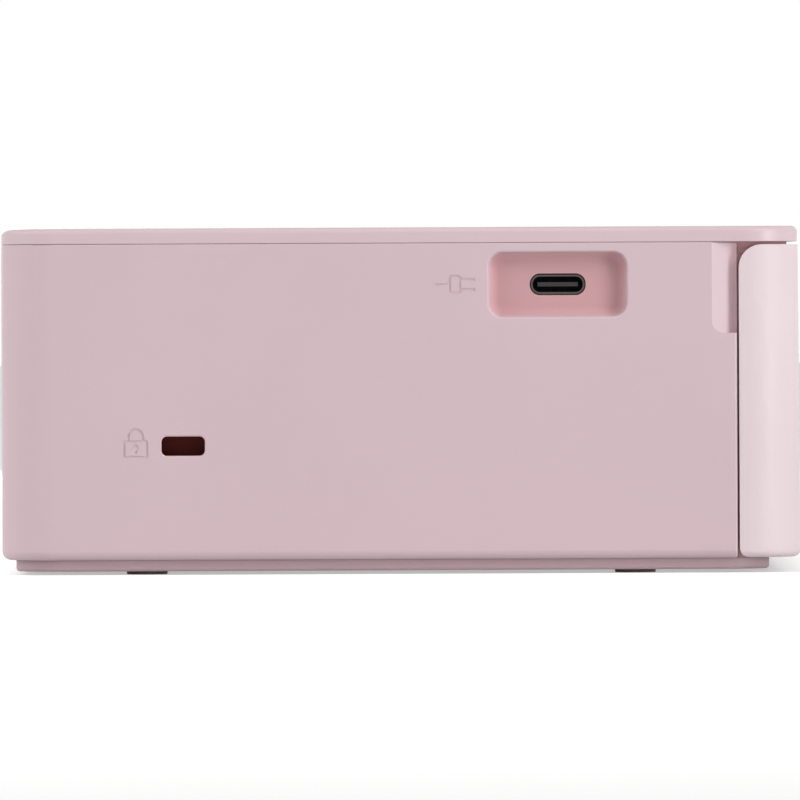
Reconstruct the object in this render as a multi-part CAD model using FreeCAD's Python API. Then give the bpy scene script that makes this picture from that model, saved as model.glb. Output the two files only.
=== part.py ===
import FreeCAD, Part
import math
import os

from FreeCAD import Vector

# A compact photo printer, in millimetres. +Z is up, the front faces -Y and the width lies along X.
# The origin is on the table, under the middle of the case.

# Outer size
WIDTH = 182.2
DEPTH = 133.0
HEIGHT = 57.6
WALL = 2.0
CORNER = 9.0
SIDE = WIDTH / 2
BACK = DEPTH / 2
FRONT = -BACK
INNER_SIDE = SIDE - WALL
INNER_BACK = BACK - WALL

# Heights of the case parts
FOOT_GAP = 0.6
BASE_TOP = 2.5
SHELL_TOP = 54.97
LID_BOTTOM = 55.0
LID_FRONT = FRONT + 0.45
LID_ROUND = 1.0
RIM_BOTTOM = 53.0
COVER_TOP = 54.52
COVER_BOTTOM = 2.55

# Base plate and feet
BASE_SIDE = 88.7
BASE_FRONT = -61.25
BASE_BACK = 64.2
BASE_ROUND = 0.55
FOOT_R = 3.4
FOOT_X = 80.0
FOOT_YS = (42.4, -38.95)

# Front cover
PANEL_FRONT = -55.87
COVER_REAR = -56.2
COVER_LEAN = 0.35
COVER_AXIS_Y = -63.5
COVER_AXIS_Z = 4.2
COVER_PIN_R = 0.9
CHEEK_IN = 74.8
CHEEK_OUT = 78.2
LUG_OUT = 81.6
FRAME_FRONT = -64.3

# Finger scoops beside the front cover
SCOOP_REAR = -51.7
SCOOP_BOTTOM = 39.85
SCOOP_DEPTH = 1.6
SCOOP_RUN = 3.4
SCOOP_ROUND = 1.6

# Port recess, lock slot and symbols in the left wall
PORT_Y = -26.15
PORT_Z = 48.02
RECESS_W = 22.9
RECESS_H = 10.7
RECESS_DEPTH = 2.6
RECESS_BACK = -86.9
USB_MOUTH = -88.3
PORT_W = 9.3
PORT_H = 3.6
LOCK_Y = 36.2
LOCK_Z = 21.4
LOCK_W = 7.2
LOCK_H = 3.2
PLUG_SIGN_Y = -9.2
LOCK_SIGN_Y = 44.1
LOCK_SIGN_Z = 21.9
ENGRAVED = 0.14

# Ink door in the right wall
DOOR_FRONT = -9.0
DOOR_BACK = 55.0
DOOR_BOTTOM = 8.0
DOOR_TOP = 52.0
DOOR_GAP = 0.35
DOOR_AXIS_X = 90.1
DOOR_AXIS_Z = 9.4
DOOR_PIN_R = 0.6

# Other ports
CARD_Y = -35.0
CARD_W = 25.5
CARD_H = 3.2
JACK_X = -70.0
JACK_Z = 12.0
JACK_HOLE_R = 3.4
BATTERY_X = 6.0
BATTERY_W = 44.0
BATTERY_LOW = 7.5
BATTERY_HIGH = 18.5

# Paper path, from the bay at the front to the slot at the back
PAPER_X = 6.0
BAY_HALF = 54.0
BAY_BACK = -14.0
BAY_FLOOR = 6.0
BAY_TOP = 27.0
SLOT_HALF = 58.0
SLOT_LOW = 24.2
SLOT_HIGH = 28.8

# Steel chassis
PLATE = 1.2
LEFT_PLATE = -52.0
RIGHT_PLATE = 63.0
CHASSIS_FLOOR = 4.0
CHASSIS_FRONT = -50.0
CHASSIS_BACK = 60.0
CHASSIS_TOP = 50.8
BOARD_BOTTOM = 45.2
BOARD_TOP = 46.4

# Rollers, as their axis (Y, Z) and radius
SHAFT_R = 2.0
BUSH_R = 3.5
RUN_FIT = 0.05
CAPSTAN = (-9.0, 22.5)
CAPSTAN_R = 4.0
PINCH = (-9.0, 29.75)
PINCH_R = 3.0
PINCH_SHAFT_R = 1.5
PLATEN = (23.0, 19.5)
PLATEN_R = 7.0
PLATEN_CORE_R = 4.5
PICKUP_Y = -27.0
PICKUP_R = 6.0

# Gears
MODULE = 0.6
TOOTH_SHARE = 0.42
GEAR_W = 3.0
LAYER_A = -57.0
LAYER_B = -60.5
LAYER_C = -64.0
CAPSTAN_TEETH = 22
PICKUP_TEETH = 44
DRIVE_TEETH = 40
SMALL_TEETH = 15
BIG_TEETH = 40
PINION_TEETH = 14
SPOOL_TEETH = 30
MOTOR_PLATE = -66.0

# Ink cassette
TAKEUP = (4.0, 39.5)
SUPPLY = (42.0, 39.5)
TUBE_R = 9.6
TUBE_WALL = 1.2
CASSETTE_LEFT = -50.0
CASSETTE_RIGHT = 62.0
GRIP_RIGHT = 78.0
CORE_R = 4.0
RIBBON_HALF = 50.0

# Print head, raised at rest
HEAD_Y = 23.0
HEAD_TIP = 28.9
HEAD_TRAVEL = 1.7

# Keys in the lid
KEY_GAP = 0.15
KEY_FLANGE = 0.45
PAD_X = 55.0
PAD_Y = -11.0
KEY_TOP = HEIGHT
FLANGE_BOTTOM = 54.2
FLANGE_TOP = 54.9

# Screen
SCREEN_LEFT = -66.0
SCREEN_RIGHT = 16.0
SCREEN_FRONT = -42.0
SCREEN_BACK = 20.0
SCREEN_THICK = 0.8


def distance_for(teeth_a, teeth_b):
    return MODULE * (teeth_a + teeth_b) / 2


def beside(centre, distance, degrees):
    angle = math.radians(degrees)
    return (centre[0] + distance * math.cos(angle), centre[1] + distance * math.sin(angle))


def direction(start, end):
    return math.degrees(math.atan2(end[1] - start[1], end[0] - start[0]))


# The gear centres follow from the tooth counts.
PICKUP_RISE = math.sqrt(distance_for(CAPSTAN_TEETH, PICKUP_TEETH) ** 2 - (CAPSTAN[0] - PICKUP_Y) ** 2)
PICKUP = (PICKUP_Y, CAPSTAN[1] + PICKUP_RISE)
REDUCTION = (CAPSTAN[0] + distance_for(DRIVE_TEETH, SMALL_TEETH), CAPSTAN[1])
FEED_MOTOR = beside(REDUCTION, distance_for(BIG_TEETH, PINION_TEETH), -30)
RIBBON_MOTOR = beside(TAKEUP, distance_for(SPOOL_TEETH, PINION_TEETH), 15)


# Shapes that repeat

def box(x0, x1, y0, y1, z0, z1):
    return Part.makeBox(x1 - x0, y1 - y0, z1 - z0, Vector(x0, y0, z0))


def rod(axis, centre, radius, start, end):
    first, second = centre
    place = {"x": (start, first, second), "y": (first, start, second), "z": (first, second, start)}
    way = {"x": Vector(1, 0, 0), "y": Vector(0, 1, 0), "z": Vector(0, 0, 1)}
    return Part.makeCylinder(radius, end - start, Vector(*place[axis]), way[axis])


def tube(axis, centre, outer, inner, start, end):
    return rod(axis, centre, outer, start, end).cut(rod(axis, centre, inner, start - 1, end + 1))


def rounded(axis, low, high, radius):
    """A box whose four edges along one axis are rounded."""
    solid = box(low[0], high[0], low[1], high[1], low[2], high[2])
    way = {"x": Vector(1, 0, 0), "y": Vector(0, 1, 0), "z": Vector(0, 0, 1)}[axis]
    edges = [edge for edge in solid.Edges if abs(edge.tangentAt(edge.FirstParameter).dot(way)) > 0.9]
    return solid.makeFillet(radius, edges)


def join(shapes):
    shapes = list(shapes)
    return shapes[0].multiFuse(shapes[1:]).removeSplitter()


def group(shapes):
    return Part.makeCompound(list(shapes))


def cut_all(shape, tools):
    for tool in tools:
        shape = shape.cut(tool)
    return shape


def prism_x(points, x0, x1):
    """A closed outline of (y, z) points, extruded along X."""
    corners = [Vector(x0, y, z) for y, z in points]
    return Part.Face(Part.makePolygon(corners + corners[:1])).extrude(Vector(x1 - x0, 0, 0))


def prism_z(points, z0, z1):
    """A closed outline of (x, y) points, extruded along Z."""
    corners = [Vector(x, y, z0) for x, y in points]
    return Part.Face(Part.makePolygon(corners + corners[:1])).extrude(Vector(0, 0, z1 - z0))


def mirrored(shape):
    return shape.mirror(Vector(0, 0, 0), Vector(1, 0, 0))


def edges_at(shape, axis, value):
    """The edges that lie wholly in one plane across an axis."""
    low = {"x": "XMin", "y": "YMin", "z": "ZMin"}[axis]
    high = {"x": "XMax", "y": "YMax", "z": "ZMax"}[axis]
    found = []
    for edge in shape.Edges:
        bounds = edge.BoundBox
        if abs(getattr(bounds, low) - value) < 0.01 and abs(getattr(bounds, high) - value) < 0.01:
            found.append(edge)
    return found


def involute(angle):
    return math.tan(angle) - angle


def gear(teeth, centre, phase, x0, bore):
    """A spur gear about X, with one tooth at the phase angle."""
    pitch = MODULE * teeth / 2
    base = pitch * math.cos(math.radians(20))
    tip = pitch + 0.9 * MODULE
    root = pitch - 1.25 * MODULE
    start = max(root, base)
    reach = TOOTH_SHARE * math.pi / teeth + involute(math.radians(20))
    flank = [(root, reach)] if root < base else []
    for step in range(4):
        radius = start + (tip - start) * step / 3
        flank.append((radius, reach - involute(math.acos(min(1, base / radius)))))
    points = []
    for tooth in range(teeth):
        middle = math.radians(phase) + 2 * math.pi * tooth / teeth
        rising = [(radius, middle - half) for radius, half in flank]
        falling = [(radius, middle + half) for radius, half in reversed(flank)]
        for radius, angle in rising + falling:
            points.append((centre[0] + radius * math.cos(angle), centre[1] + radius * math.sin(angle)))
    return prism_x(points, x0, x0 + GEAR_W).cut(rod("x", centre, bore, x0 - 1, x0 + GEAR_W + 1))


def meshed(gear_centre, other_centre, other_teeth):
    """The phases of two gears, so that a tooth of the first meets a gap of the second."""
    way = direction(gear_centre, other_centre)
    return way, way + 180 + 180 / other_teeth


# Case

def screw_places():
    return [(side * 83.5, y) for side in (-1, 1) for y in (-48.0, 58.5)]


def base_tray():
    slab = rounded("z", (-BASE_SIDE, BASE_FRONT, FOOT_GAP), (BASE_SIDE, BASE_BACK, BASE_TOP), 8)
    slab = slab.makeFillet(BASE_ROUND, edges_at(slab, "z", FOOT_GAP))
    rim = rounded("z", (-BASE_SIDE, BASE_FRONT, BASE_TOP), (BASE_SIDE, BASE_BACK, 4.4), 8)
    hollow_low = (-BASE_SIDE + 1.5, BASE_FRONT + 1.5, 2)
    rim = rim.cut(rounded("z", hollow_low, (BASE_SIDE - 1.5, BASE_BACK - 1.5, 5), 6.5))
    rim = rim.cut(box(-SIDE, SIDE, FRONT, -54, 0, 10))
    posts = [rod("z", (x, y), 3, BASE_TOP, CHASSIS_FLOOR) for x in (-44, 54) for y in (-40, 50)]
    posts += [rod("z", (x, y), 2.5, BASE_TOP, 5.3) for x in (-75, -60) for y in (41, 58)]
    tray = join([slab, rim] + posts)
    feet = [rod("z", (side * FOOT_X, y), FOOT_R + 0.1, 0, 1.2) for side in (-1, 1) for y in FOOT_YS]
    screws = [rod("z", place, 2.6, 0, 1.6) for place in screw_places()]
    screws += [rod("z", place, 1.35, 0, 4) for place in screw_places()]
    vents = [rounded("z", (x, -18, 0), (x + 2, 22, 4), 0.9) for x in range(-33, 46, 6)]
    return cut_all(tray, feet + screws + vents)


def rubber_feet():
    feet = []
    for side in (-1, 1):
        for y in FOOT_YS:
            foot = rod("z", (side * FOOT_X, y), FOOT_R, 0, 1.2)
            feet.append(foot.makeFillet(0.15, edges_at(foot, "z", 0)))
    return group(feet)


def finger_scoop(x_face, way):
    """A slope and a flat floor that sink towards the front cover, with one round corner."""
    face = x_face + way * 0.5
    deep = x_face - way * SCOOP_DEPTH
    foot = SCOOP_REAR - SCOOP_RUN
    front = PANEL_FRONT - 1
    points = [(face, SCOOP_REAR + SCOOP_RUN * 0.5 / SCOOP_DEPTH), (deep, foot), (deep, front), (face, front)]
    wedge = prism_z(points, SCOOP_BOTTOM, HEIGHT)
    turn = [edge for edge in edges_at(wedge, "y", foot) if abs(edge.BoundBox.XMin - deep) < 0.01]
    wedge = wedge.makeFillet(SCOOP_ROUND, turn)
    outline = rounded("x", (-SIDE - 1, FRONT - 5, SCOOP_BOTTOM), (SIDE + 1, SCOOP_REAR, HEIGHT + 5), 2)
    return wedge.common(outline)


def port_recess():
    face = -SIDE
    low = (face - 1, PORT_Y - RECESS_W / 2, PORT_Z - RECESS_H / 2)
    high = (face + RECESS_DEPTH, PORT_Y + RECESS_W / 2, PORT_Z + RECESS_H / 2)
    recess = rounded("x", low, high, 2.3)
    return recess.makeFillet(1.6, edges_at(recess, "x", face + RECESS_DEPTH))


def recess_boss():
    """The thicker wall behind the port recess."""
    side, rise = RECESS_W / 2 + 1.4, RECESS_H / 2 + 1.4
    return box(-INNER_SIDE - 0.5, RECESS_BACK, PORT_Y - side, PORT_Y + side, PORT_Z - rise, SHELL_TOP)


def port_hole():
    low = (-SIDE - 1, PORT_Y - PORT_W / 2, PORT_Z - PORT_H / 2)
    high = (RECESS_BACK + 1, PORT_Y + PORT_W / 2, PORT_Z + PORT_H / 2)
    return rounded("x", low, high, 1.7)


def lock_pocket():
    """A closed pocket behind the lock slot, round its steel plate."""
    y0, y1, z0, z1 = LOCK_Y - 8.3, LOCK_Y + 8.3, LOCK_Z - 6.3, LOCK_Z + 6.3
    pocket = box(-INNER_SIDE - 0.5, -82.6, y0, y1, z0, z1)
    return pocket, box(-INNER_SIDE, -83.6, y0 + 1.1, y1 - 1.1, z0 + 1.1, z1 - 1.1)


def lock_slot(margin):
    low = (-SIDE - 1, LOCK_Y - LOCK_W / 2 - margin, LOCK_Z - LOCK_H / 2 - margin)
    high = (-INNER_SIDE + 2, LOCK_Y + LOCK_W / 2 + margin, LOCK_Z + LOCK_H / 2 + margin)
    return rounded("x", low, high, 0.9)


def engraving(shape):
    """The part of a shape that is as deep as the engraved signs."""
    return shape.common(box(-SIDE - 1, -SIDE + ENGRAVED, FRONT, BACK, 0, HEIGHT))


def plug_sign():
    """A plug with two prongs and the start of its cord."""
    y, z = PLUG_SIGN_Y, PORT_Z
    x0, x1 = -SIDE - 1, -SIDE + 1
    body = rounded("x", (x0, y - 0.9, z - 1.6), (x1, y + 1.3, z + 1.6), 0.7)
    body = body.cut(rounded("x", (x0 - 1, y - 0.45, z - 1.15), (x1 + 1, y + 0.85, z + 1.15), 0.4))
    cord = box(x0, x1, y + 1.3, y + 3.4, z - 0.22, z + 0.22)
    prongs = [box(x0, x1, y - 3.2, y - 0.9, z + rise - 0.22, z + rise + 0.22) for rise in (-0.8, 0.8)]
    return engraving(join([body, cord] + prongs))


def lock_sign():
    """A padlock with a keyhole."""
    y, z = LOCK_SIGN_Y, LOCK_SIGN_Z
    x0, x1 = -SIDE - 1, -SIDE + 1
    body = rounded("x", (x0, y - 2.1, z - 2.5), (x1, y + 2.1, z + 0.5), 0.4)
    body = body.cut(rounded("x", (x0 - 1, y - 1.7, z - 2.1), (x1 + 1, y + 1.7, z + 0.1), 0.2))
    shackle = tube("x", (y, z + 1.1), 1.4, 1.0, x0, x1).common(box(x0, x1, y - 2, y + 2, z + 1.1, z + 3))
    legs = [box(x0, x1, y + side * 1.2 - 0.2, y + side * 1.2 + 0.2, z + 0.4, z + 1.1) for side in (-1, 1)]
    keyhole = rod("x", (y, z - 0.7), 0.5, x0, x1)
    stem = box(x0, x1, y - 0.22, y + 0.22, z - 1.7, z - 0.7)
    return engraving(join([body, shackle] + legs)), engraving(join([keyhole, stem]))


def within(edges, y0, y1, z0, z1):
    """The edges that lie wholly inside a window of the side view."""
    found = []
    for edge in edges:
        bounds = edge.BoundBox
        if bounds.YMin > y0 and bounds.YMax < y1 and bounds.ZMin > z0 and bounds.ZMax < z1:
            found.append(edge)
    return found


def softened(shell):
    """Small rounds on the rims of the ports, the front edges and the top edge."""
    port = within(edges_at(shell, "x", -SIDE), PORT_Y - 12, PORT_Y + 12, PORT_Z - 6, PORT_Z + 6)
    shell = shell.makeFillet(0.4, port)
    slot = within(edges_at(shell, "x", -SIDE), LOCK_Y - 4, LOCK_Y + 4, LOCK_Z - 2, LOCK_Z + 2)
    shell = shell.makeFillet(0.3, slot)
    for side in (-SIDE, SIDE):
        front = within(edges_at(shell, "x", side), PANEL_FRONT - 0.01, PANEL_FRONT + 0.01, 0, HEIGHT)
        shell = shell.makeFillet(0.45, front)
    top = []
    for edge in edges_at(shell, "z", SHELL_TOP):
        bounds = edge.BoundBox
        if max(-bounds.XMin, bounds.XMax) > INNER_SIDE + 0.3 or bounds.YMax > INNER_BACK + 0.3:
            top.append(edge)
    return shell.makeFillet(0.25, top)


def body_shell():
    outer = rounded("z", (-SIDE, FRONT, BASE_TOP), (SIDE, BACK, SHELL_TOP), CORNER)
    outer = outer.makeFillet(1.5, edges_at(outer, "z", BASE_TOP))
    inner = rounded("z", (-INNER_SIDE, -INNER_BACK, 0), (INNER_SIDE, INNER_BACK, HEIGHT), CORNER - WALL)
    shell = outer.cut(inner).cut(box(-SIDE - 1, SIDE + 1, FRONT - 1, PANEL_FRONT, 0, HEIGHT))
    bosses = []
    for x, y in screw_places():
        way = 1 if x > 0 else -1
        rib = box(min(x, way * 89.6), max(x, way * 89.6), y - 0.8, y + 0.8, 4.6, 18)
        bosses += [rod("z", (x, y), 3.2, 4.6, 18), rib]
    pocket, pocket_inside = lock_pocket()
    shell = join([shell, recess_boss(), pocket] + bosses).cut(pocket_inside)
    shell = cut_all(shell, [rod("z", place, 1.25, 0, 16) for place in screw_places()])
    shell = cut_all(shell, [finger_scoop(-SIDE, -1), finger_scoop(SIDE, 1)])
    shell = cut_all(shell, [port_recess(), port_hole(), lock_slot(0), plug_sign()])
    shell = cut_all(shell, lock_sign())
    return softened(cut_all(shell, right_wall_cuts() + back_wall_cuts()))


def right_wall_cuts():
    door = rounded("x", (INNER_SIDE - 2, DOOR_FRONT, DOOR_BOTTOM), (SIDE + 1, DOOR_BACK, DOOR_TOP), 1.0)
    pins = rod("y", (DOOR_AXIS_X, DOOR_AXIS_Z), DOOR_PIN_R + RUN_FIT, DOOR_FRONT - 1.8, DOOR_BACK + 1.8)
    low = (INNER_SIDE - 1, CARD_Y - CARD_W / 2, PORT_Z - CARD_H / 2)
    card = rounded("x", low, (SIDE + 1, CARD_Y + CARD_W / 2, PORT_Z + CARD_H / 2), 0.6)
    outside, deep = SIDE + 0.5, SIDE - SCOOP_DEPTH
    grip = prism_z([(outside, DOOR_FRONT - 6), (deep, DOOR_FRONT), (deep, 0), (outside, 0)], 28, 46)
    return [door, pins, card, grip]


def back_wall_cuts():
    y0, y1 = INNER_BACK - 1, BACK + 1
    paper = rounded("y", (PAPER_X - SLOT_HALF, y0, SLOT_LOW), (PAPER_X + SLOT_HALF, y1, SLOT_HIGH), 1.2)
    jack = rod("y", (JACK_X, JACK_Z), JACK_HOLE_R, y0, y1)
    left, right = BATTERY_X - BATTERY_W / 2, BATTERY_X + BATTERY_W / 2
    bay = rounded("y", (left, y0, BATTERY_LOW), (right, y1, BATTERY_HIGH), 1.5)
    vents = [rounded("y", (x, y0, 36), (x + 2, y1, 48), 0.9) for x in range(-60, 73, 6)]
    return [paper, jack, bay] + vents


# Lid, screen and keys

def disc_key(place, radius):
    def shape(grow, z0, z1):
        return rod("z", place, radius + grow, z0, z1)
    return shape


def pill_key(place, length, width):
    def shape(grow, z0, z1):
        x, y = place
        low = (x - length / 2 - grow, y - width / 2 - grow, z0)
        high = (x + length / 2 + grow, y + width / 2 + grow, z1)
        return rounded("z", low, high, width / 2 + grow - 0.01)
    return shape


def ring_key(degrees):
    """A quarter of the ring round the middle key, facing one way."""
    def shape(grow, z0, z1):
        ring = tube("z", (PAD_X, PAD_Y), 15.0 + grow, 8.2 - grow, z0, z1)
        inset = 0.75 - grow
        quarter = box(inset, 30, inset, 30, z0, z1)
        quarter.rotate(Vector(0, 0, 0), Vector(0, 0, 1), degrees - 45)
        quarter.translate(Vector(PAD_X, PAD_Y, 0))
        return ring.common(quarter)
    return shape


KEYS = {
    "power_key": disc_key((-79.0, -30.0), 4.5),
    "home_key": pill_key((40.0, 14.0), 13.0, 6.0),
    "back_key": pill_key((70.0, 14.0), 13.0, 6.0),
    "right_key": ring_key(0),
    "up_key": ring_key(90),
    "left_key": ring_key(180),
    "down_key": ring_key(270),
    "ok_key": disc_key((PAD_X, PAD_Y), 6.2),
    "print_key": disc_key((PAD_X, -38.0), 6.0),
}


def key(name):
    """A key cap with the flange that holds it under the lid."""
    cap = KEYS[name](0, FLANGE_TOP - 0.1, KEY_TOP)
    edges = edges_at(cap, "z", KEY_TOP)
    cap = cap.makeFillet(0.35, edges)
    return cap.fuse(KEYS[name](KEY_FLANGE, FLANGE_BOTTOM, FLANGE_TOP)).removeSplitter()


def top_cover():
    plate = rounded("z", (-SIDE, LID_FRONT, LID_BOTTOM), (SIDE, BACK, HEIGHT), CORNER)
    plate = plate.makeFillet(LID_ROUND, edges_at(plate, "z", HEIGHT))
    plate = plate.makeFillet(0.15, edges_at(plate, "z", LID_BOTTOM))
    rim = rounded("z", (-88.8, FRAME_FRONT, RIM_BOTTOM), (88.8, 64.2, LID_BOTTOM), 6.7)
    rim = rim.cut(rounded("z", (-87.3, FRAME_FRONT + 1.5, 52), (87.3, 62.7, 56), 5.2))
    rim = rim.cut(box(-SIDE, RECESS_BACK + 0.3, PORT_Y - 13.4, PORT_Y + 13.4, 52, 56))
    posts = [rod("z", (x, y), 1.8, 52.0, LID_BOTTOM) for x in (31, 80) for y in (-46, 34)]
    posts += [rod("z", (-79.0, y), 1.8, 52.0, LID_BOTTOM) for y in (-44, -16)]
    lid = join([plate, rim] + posts)
    window = rounded("z", (SCREEN_LEFT - 0.1, SCREEN_FRONT - 0.1, HEIGHT - SCREEN_THICK),
                     (SCREEN_RIGHT + 0.1, SCREEN_BACK + 0.1, HEIGHT + 1), 2.6)
    left, right = SCREEN_LEFT + 3, SCREEN_RIGHT - 3
    opening = box(left, right, SCREEN_FRONT + 4, SCREEN_BACK - 4, LID_BOTTOM - 1, HEIGHT)
    holes = [shape(KEY_GAP, LID_BOTTOM - 1, HEIGHT + 1) for shape in KEYS.values()]
    return cut_all(lid, [window, opening] + holes)


def screen_window():
    low = (SCREEN_LEFT, SCREEN_FRONT, HEIGHT - SCREEN_THICK)
    glass = rounded("z", low, (SCREEN_RIGHT, SCREEN_BACK, HEIGHT), 2.5)
    return glass.makeFillet(0.2, edges_at(glass, "z", HEIGHT))


def screen_module():
    left, right = SCREEN_LEFT + 3.2, SCREEN_RIGHT - 3.2
    panel = box(left, right, SCREEN_FRONT + 4.2, SCREEN_BACK - 4.2, 53.2, HEIGHT - SCREEN_THICK)
    tab = box(SCREEN_RIGHT - 3.2, SCREEN_RIGHT + 2, -20, -4, 53.2, 53.8)
    return join([panel, tab])


def keypad_board():
    board = box(27, 84, -50, 38, 51.0, 52.0)
    sheet = box(-85, -73, -48, -12, 51.0, 52.0)
    switches = [box(x - 1.6, x + 1.6, y - 1.6, y + 1.6, 52.0, 53.6) for x, y in switch_places()]
    return group([join([board] + switches[1:]), join([sheet, switches[0]])])


def switch_places():
    ring = [(PAD_X + 11.6, PAD_Y), (PAD_X, PAD_Y + 11.6), (PAD_X - 11.6, PAD_Y), (PAD_X, PAD_Y - 11.6)]
    return [(-79.0, -30.0), (40.0, 14.0), (70.0, 14.0)] + ring + [(PAD_X, PAD_Y), (PAD_X, -38.0)]


# Front cover and what it closes

def leaning(shape):
    """Shears the cover, so that its face leans back towards the top."""
    matrix = FreeCAD.Matrix()
    matrix.A23 = COVER_LEAN / (COVER_TOP - COVER_BOTTOM)
    matrix.A24 = -matrix.A23 * COVER_BOTTOM
    return shape.transformGeometry(matrix)


def rounded_rear(radius_top, radius_bottom):
    """The side view of the cover, with its two rear corners rounded."""
    solid = box(-SIDE - 1, SIDE + 1, FRONT - 1, COVER_REAR, COVER_BOTTOM, COVER_TOP)
    for z, radius in ((COVER_TOP, radius_top), (COVER_BOTTOM, radius_bottom)):
        edges = [edge for edge in edges_at(solid, "y", COVER_REAR) if abs(edge.BoundBox.ZMin - z) < 0.01
                 and abs(edge.BoundBox.ZMax - z) < 0.01]
        solid = solid.makeFillet(radius, edges)
    return solid


def front_cover():
    outer = rounded("z", (-SIDE, FRONT, COVER_BOTTOM), (SIDE, BACK, COVER_TOP), CORNER)
    outer = leaning(outer.makeFillet(1.2, edges_at(outer, "z", COVER_BOTTOM)))
    inner = rounded("z", (-INNER_SIDE, -INNER_BACK, 0), (INNER_SIDE, INNER_BACK, HEIGHT), CORNER - WALL)
    cover = outer.cut(inner).common(rounded_rear(3.8, 1.6))
    ribs = [box(x - 0.6, x + 0.6, FRAME_FRONT - 0.8, FRAME_FRONT - 0.15, 10, 50) for x in (-70, -62, 72)]
    lug_low = COVER_AXIS_Z - 1.5
    lugs = []
    pockets = []
    for side in (-1, 1):
        x0, x1 = sorted((side * (CHEEK_OUT + 0.4), side * LUG_OUT))
        round_end = rod("x", (COVER_AXIS_Y, COVER_AXIS_Z), 1.5, x0, x1)
        lugs.append(round_end.fuse(box(x0, x1, -65.2, COVER_AXIS_Y, lug_low, lug_low + 3)))
        x0, x1 = sorted((side * (CHEEK_IN - 0.4), side * (CHEEK_OUT + 0.4)))
        pockets.append(box(x0, x1, -65.6, -64, 0, 8))
    cover = cut_all(join([cover] + lugs + ribs), pockets)
    pin_hole = rod("x", (COVER_AXIS_Y, COVER_AXIS_Z), COVER_PIN_R, CHEEK_OUT, LUG_OUT + 1)
    return cut_all(cover, [pin_hole, mirrored(pin_hole)])


def front_cover_pins():
    pin = rod("x", (COVER_AXIS_Y, COVER_AXIS_Z), COVER_PIN_R, CHEEK_IN + 0.5, LUG_OUT)
    return group([pin, mirrored(pin)])


def front_frame():
    upper = rounded("z", (-88.7, FRAME_FRONT, 7.0), (88.7, 60, RIM_BOTTOM - 0.03), 6.6)
    upper = upper.cut(rounded("z", (-86.9, FRAME_FRONT + 1.8, 6), (86.9, 61, 54), 4.8))
    lower = rounded("z", (-87, -61.2, 2.9), (87, 60, 7.6), 6)
    lower = lower.cut(rounded("z", (-85.2, -59.4, 2), (85.2, 61, 9), 4.2))
    shelf = rounded("z", (-87, -62.4, 7.0), (87, 60, 8.2), 5)
    shelf = shelf.cut(rounded("z", (-85.2, -59.4, 6), (85.2, 61, 9), 4.2))
    frame = join([upper, lower, shelf])
    frame = frame.cut(box(-SIDE, SIDE, -52, BACK, 0, HEIGHT))
    arms = []
    heels = []
    for side in (-1, 1):
        x0, x1 = sorted((side * CHEEK_IN, side * CHEEK_OUT))
        boss = rod("x", (COVER_AXIS_Y, COVER_AXIS_Z), 1.8, x0, x1)
        arms.append(boss.fuse(box(x0, x1, COVER_AXIS_Y, -60, 2.9, 6.0)))
        x0, x1 = sorted((side * 86.5, side * 88.7))
        heels.append(box(x0, x1, -58.0, -54.1, BASE_TOP + 0.05, 7.2))
    frame = join([frame] + arms + heels)
    bay = box(PAPER_X - BAY_HALF, PAPER_X + BAY_HALF, FRONT, -50, BAY_FLOOR, BAY_TOP)
    hole = rod("x", (COVER_AXIS_Y, COVER_AXIS_Z), COVER_PIN_R + RUN_FIT, CHEEK_IN + 0.3, SIDE)
    return cut_all(frame, [bay, hole, mirrored(hole)])


def paper_bay():
    left, right = PAPER_X - BAY_HALF, PAPER_X + BAY_HALF
    floor = box(left - 1.5, right + 1.5, -59.2, BAY_BACK, CHASSIS_FLOOR + 1, BAY_FLOOR)
    sides = [box(x, x + 1.5, -59.2, BAY_BACK, CHASSIS_FLOOR + 1, 24) for x in (left - 1.5, right)]
    back = box(left - 1.5, right + 1.5, BAY_BACK - 1.5, BAY_BACK, CHASSIS_FLOOR + 1, 24)
    roof = box(left - 1.5, right + 1.5, -59.2, -40, BAY_TOP + 0.2, BAY_TOP + 1.4)
    links = [box(x, x + 1.5, -59.2, -40, 24, BAY_TOP + 1.4) for x in (left - 1.5, right)]
    return join([floor, back, roof] + sides + links)


# Ink door in the right wall

def ink_door():
    low = (INNER_SIDE, DOOR_FRONT + DOOR_GAP, DOOR_BOTTOM + DOOR_GAP)
    high = (SIDE, DOOR_BACK - DOOR_GAP, DOOR_TOP - DOOR_GAP)
    panel = rounded("x", low, high, 0.8)
    bottom = [edge for edge in edges_at(panel, "z", low[2]) if edge.Length > 20]
    panel = panel.makeFillet(0.6, bottom)
    latch = box(INNER_SIDE - 1.2, INNER_SIDE + 0.5, 18, 28, 48.6, 50.4)
    ribs = [box(INNER_SIDE - 0.8, INNER_SIDE + 0.5, y - 0.5, y + 0.5, 14, 46) for y in (2, 44)]
    pins = []
    for start, end in ((DOOR_FRONT - 1.5, DOOR_FRONT + 3), (DOOR_BACK - 3, DOOR_BACK + 1.5)):
        pins.append(rod("y", (DOOR_AXIS_X, DOOR_AXIS_Z), DOOR_PIN_R, start, end))
    return join([panel, latch] + ribs + pins)


# Chassis

LEFT = LEFT_PLATE - PLATE
RIGHT = RIGHT_PLATE + PLATE


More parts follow.
